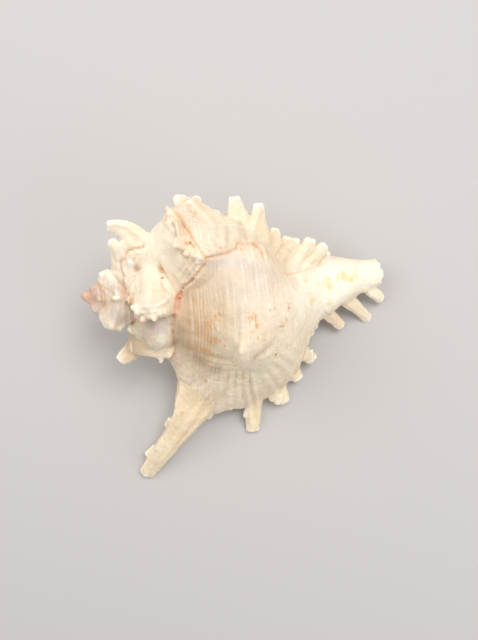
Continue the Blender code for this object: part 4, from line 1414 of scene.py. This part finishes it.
# %% Patterns
place_in_space = node("ShaderNodeTexCoord").outputs["Object"]
axis_way = node("ShaderNodeVectorMath", operation="DOT_PRODUCT")
plug(axis_way, i0=place_in_space, i1=tuple(TILT[:, 0]))
along_axis = math_node("SUBTRACT", axis_way.outputs["Value"], float(APEX @ TILT[:, 0]))
broad = noise(place_in_space, 28.0, 3.0)
middle = noise(place_in_space, 75.0, 3.0, 0.55)
fine = noise(place_in_space, 190.0, 4.0, 0.6)
finest = noise(place_in_space, 900.0, 3.0)
pitted = noise(place_in_space, 420.0, 3.0, 0.6)
mottle = noise(place_in_space, 480.0, 3.0, 0.6)
cords_across = stripes(along_axis, 620.0, 3.0)
growth_lines = stripes(attribute("growth"), 260.0, 3.0)
growth_bands = stripes(attribute("growth"), 60.0, 2.0)
print("pattern nodes:", len(nodes))

# %% [markdown]
# ### Ground and tints
# The ground is cream, a little warmer and a little greyer in clouds. The large tints lie over it, each
# where its patch is; the shade tint is painted shade, tan is partly painted shade, and white and cream
# are partly painted light. A band of noise along the whorl breaks up the shaded ones.

# %% Ground and tints
paint = mix(ramp(broad, 0.35, 0.68), LIGHT_GROUND, WARM_GROUND)
paint = mix(times(ramp(middle, 0.45, 0.7), 0.35), paint, DULL_GROUND)
lavender = times(attribute("lavender"), ramp(middle, 0.2, 0.6, 0.7, 1.0))
paint = mix(lavender, paint, LAVENDER)
paint = mix(times(attribute("rose"), ramp(fine, 0.3, 0.6, 0.5, 0.9)), paint, ROSE)
paint = mix(times(attribute("spine"), 0.4), paint, SPINE_CREAM)
# Tan is partly painted shade; white and cream are partly painted light.
paint = mix(times(attribute("tan"), ramp(broad, 0.3, 0.7, 0.6, 0.95)), paint, TAN)
paint = mix(times(attribute("white"), 0.85), paint, BLEACHED_AND_LIT)
paint = mix(times(attribute("cream"), 0.85), paint, CREAM)
shade = times(attribute("shade"), ramp(cords_across, 0.25, 0.6, 0.75, 1.0))
paint = mix(shade, paint, SHADED)
print("nodes after the tints:", len(nodes))

# %% [markdown]
# ### Streaks, worn and highlit edges, and painted shade in hollows
# Streaks run along the whorl and growth lines across it, both here and there, as wear left them. After
# that the hollows get painted shade and the edges are painted lighter, partly as wear and partly as
# painted highlight, which does more for the look than any single mark.

# %% Streaks, worn and highlit edges, and painted shade in hollows
here_and_there = times(ramp(noise(place_in_space, 95.0, 2.0), 0.35, 0.7), attribute("whorl"))
elsewhere = times(ramp(noise(place_in_space, 60.0, 2.0), 0.45, 0.75), attribute("whorl"))
tan_streaks = times(times(ramp(cords_across, 0.5, 0.75), 0.22), here_and_there)
paint = mix(tan_streaks, paint, TAN_STREAK)
pale_streaks = times(times(ramp(cords_across, 0.5, 0.3), 0.4), here_and_there)
paint = mix(pale_streaks, paint, PALE_STREAK)
lines_here = times(times(ramp(growth_lines, 0.52, 0.72), 0.16), times(elsewhere, attribute("rows")))
paint = mix(lines_here, paint, GROWTH_LINE)
bands_here = times(times(ramp(growth_bands, 0.5, 0.7), 0.22), attribute("whorl"))
paint = mix(bands_here, paint, GROWTH_BAND)
pit_strength = math_node("MULTIPLY_ADD", attribute("white"), -0.15, 0.2)
paint = mix(times(ramp(pitted, 0.50, 0.36), pit_strength), paint, PIT)
# Painted shade darkens the hollows; edges are painted lighter, partly as wear and partly as painted
# highlight.
paint = mix(times(ramp(attribute("hollowness"), 0.06, 0.7), 0.85), paint, PAINTED_HOLLOW_SHADE)
rubbed_and_highlit = ramp(times(attribute("hollowness"), -1.0), 0.15, 0.9)
paint = mix(rubbed_and_highlit, paint, RUBBED_AND_HIGHLIT)
print("nodes after the streaks:", len(nodes))

# %% [markdown]
# ### Orange threads
# A few thin orange threads run round the upper part of the last whorl. Each stays at one
# place along the axis, so a colour ramp over that place draws them all, and noise breaks
# them up.

# %% Orange threads
# Place along the axis in mm, and strength
THREADS = ((53.7, 0.4), (54.9, 0.6), (56.5, 0.9), (57.8, 0.9), (59.4, 1.0), (60.9, 0.7), (62.4, 0.4))
THREAD_SPAN = (52.0, 64.0)
THREAD_HALF = 0.3
span = THREAD_SPAN[1] - THREAD_SPAN[0]
thread_ramp = node("ShaderNodeValToRGB")
plug(thread_ramp, Fac=math_node("MULTIPLY_ADD", along_axis, 1 / MM / span, -THREAD_SPAN[0] / span))
stops = thread_ramp.color_ramp.elements
stops[0].color = stops[1].color = (0, 0, 0, 1)
for middle_line, strength in THREADS:
    for aside, level in ((-THREAD_HALF, 0), (0, strength), (THREAD_HALF, 0)):
        stop = stops.new((middle_line + aside - THREAD_SPAN[0]) / span)
        stop.color = (level, level, level, 1)
broken = ramp(fine, 0.3, 0.6, 0.35, 1.0)
threads = times(times(thread_ramp.outputs["Color"], attribute("thread")), broken)
paint = mix(times(attribute("thread"), 0.22), paint, THREAD_GROUND)
paint = mix(threads, paint, THREAD)
print("threads:", len(THREADS))

# %% [markdown]
# ### Stains, specks and yellow
# Their patches would be smooth balls. Noise is added to each value before a soft step cuts
# it off, so a stain gets a ragged edge and gaps. The specks come from a Voronoi texture,
# which has one dot in each cell, and a second noise leaves most of the cells empty.

# %% Stains, specks and yellow
patchy = ramp(plus_noise(attribute("stain"), mottle, 3.2), 0.35, 0.95)
patchy = times(patchy, ramp(attribute("stain"), 0.05, 0.3))
dashes = ramp(cords_across, 0.38, 0.58, 0.35, 1.0)
paint = mix(times(times(patchy, dashes), 0.8), paint, STAIN)
cells = plug(node("ShaderNodeTexVoronoi"), Vector=place_in_space, Scale=620.0, Randomness=1.0)
dots = ramp(cells.outputs["Distance"], 0.46, 0.2)
rare = ramp(noise(place_in_space, 480.0, 1.0), 0.46, 0.56)
paint = mix(times(times(dots, rare), attribute("speck")), paint, SPECK)
single_dots = times(ramp(attribute("dot"), 0.25, 0.7), ramp(fine, 0.2, 0.5, 0.5, 0.95))
paint = mix(single_dots, paint, DOT)
yellow = ramp(plus_noise(attribute("yellow"), mottle, 2.0), 0.25, 1.0)
yellow = times(yellow, ramp(attribute("yellow"), 0.05, 0.5))
paint = mix(times(yellow, 0.7), paint, YELLOW)
print("nodes after the stains:", len(nodes))

# %% [markdown]
# ### Seams and the inside
# A seam has a thin core, pink or orange, dark where it is deepest, in a wide faint halo. Both
# come from one value, the distance from the seam in its half widths. The inner wall is
# smoother, a pale pinkish cream, because the snail kept polishing it.

# %% Seams and the inside
tint = mix(attribute("seam_orange"), SEAM_PINK, SEAM_ORANGE)
tint = mix(attribute("seam_dark"), tint, SEAM_DARK)
from_seam = plus_noise(math_node("ABSOLUTE", attribute("seam")), fine, 0.9)
halo = times(times(ramp(from_seam, 2.6, 0.3), 0.4), attribute("seam_strength"))
paint = mix(halo, paint, SEAM_HALO)
core = times(ramp(from_seam, 1.0, 0.35), attribute("seam_strength"))
paint = mix(core, paint, tint)
inside_colour = mix(ramp(broad, 0.3, 0.7), INSIDE_LIGHT, INSIDE_DEEP)
paint = mix(attribute("inside"), paint, inside_colour)
links.new(paint, shader.inputs["Base Color"])
print("nodes after the seams:", len(nodes))

# %% [markdown]
# ### Roughness and bump
# Chalky shell is dull, the inside has a faint gloss. What is finer than the mesh, such as
# the pores and the finest growth lines, is left to a bump, which costs no triangles.

# %% Roughness and bump
BUMP_STRENGTH = 0.7
BUMP_DISTANCE = 0.0006    # in metres
dull = ramp(middle, 0.3, 0.7, 0.46, 0.62)
links.new(math_node("SUBTRACT", dull, times(attribute("inside"), 0.26)), shader.inputs["Roughness"])
here = ramp(noise(place_in_space, 50.0, 2.0), 0.35, 0.65, 0.3, 1.0)
heights = times(fine, 1.0)
for part in (times(finest, 0.35), times(pitted, 0.5),
             times(times(growth_lines, 0.45), attribute("rows")),
             times(times(cords_across, here), attribute("whorl"))):
    heights = math_node("ADD", heights, part)
bump = node("ShaderNodeBump")
plug(bump, Height=heights, Strength=BUMP_STRENGTH, Distance=BUMP_DISTANCE)
links.new(bump.outputs["Normal"], shader.inputs["Normal"])
print("nodes in the material:", len(nodes))

# %% [markdown]
# ## The shell in the frame
# The finished mesh gets its one material and takes the place of the plain solid. It rides on
# the root body, since a shell has no moving part.

# %% Hand the shell over to the frame
final_mesh.materials.clear()
final_mesh.materials.append(shell_paint)
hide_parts("shell")
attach(murex, "root")
print("material slots of the shell:", len(murex.material_slots))

# %% [markdown]
# ## Floor, light and camera
# A plain pale floor and soft light show the shell's own colours. A sun would give hard
# shadows, so the light comes from square panels. The key panel stands at the upper right,
# because in the photo the lower left of the body is shaded. A weaker one opens the left side,
# and a low one reaches the lip and its spines. The camera is the one set at the start.

# %% Floor
FLOOR_HALF = 3            # in metres
FLOOR_COLOUR = (0.55, 0.53, 0.52, 1)
FLOOR_ROUGHNESS = 0.8
bm = bmesh.new()
bmesh.ops.create_grid(bm, x_segments=1, y_segments=1, size=FLOOR_HALF)
floor_mesh = bpy.data.meshes.new("floor")
bm.to_mesh(floor_mesh)
bm.free()
floor = bpy.data.objects.new("floor", floor_mesh)
bpy.context.scene.collection.objects.link(floor)
floor_paint = bpy.data.materials.new("floor_paint")
floor_paint.use_nodes = True
floor_shader = floor_paint.node_tree.nodes["Principled BSDF"]
floor_shader.inputs["Base Color"].default_value = FLOOR_COLOUR
floor_shader.inputs["Roughness"].default_value = FLOOR_ROUGHNESS
floor_mesh.materials.append(floor_paint)
print("floor, m across:", 2 * FLOOR_HALF)

# %% Light
WORLD_COLOUR = (1.0, 0.98, 0.96, 1)
WORLD_STRENGTH = 0.49
# Name, place in metres, size in metres, power
PANELS = (
    ("key", (0.30, 0.34, 0.90), 0.5, 5.5),
    ("left", (-0.5, 0.30, 0.6), 0.6, 2.6),
    ("low", (0.60, -0.42, 0.40), 0.5, 1.25),
)
scene = bpy.context.scene
scene.view_settings.view_transform = "Standard"
world = bpy.data.worlds.new("studio")
world.use_nodes = True
background = world.node_tree.nodes["Background"]
background.inputs["Color"].default_value = WORLD_COLOUR
background.inputs["Strength"].default_value = WORLD_STRENGTH
scene.world = world
for name, spot, size, power in PANELS:
    light = bpy.data.lights.new(name, "AREA")
    light.size = size
    light.energy = power
    lamp = bpy.data.objects.new(name, light)
    lamp.location = spot
    lamp.rotation_euler = (-Vector(spot)).to_track_quat("-Z", "Y").to_euler()
    scene.collection.objects.link(lamp)
print("panels of light:", len(PANELS))

# %% Camera
CLIP_START = 0.01
camera_data = bpy.data.cameras.new("camera")
camera_data.lens = LENS
camera_data.sensor_width = SENSOR
camera_data.clip_start = CLIP_START
camera = bpy.data.objects.new("camera", camera_data)
camera.location = CAMERA_PLACE * MM
camera.rotation_euler = (0, 0, CAMERA_TURN)
scene.collection.objects.link(camera)
scene.camera = camera
print("camera, m:", [round(value, 4) for value in camera.location])
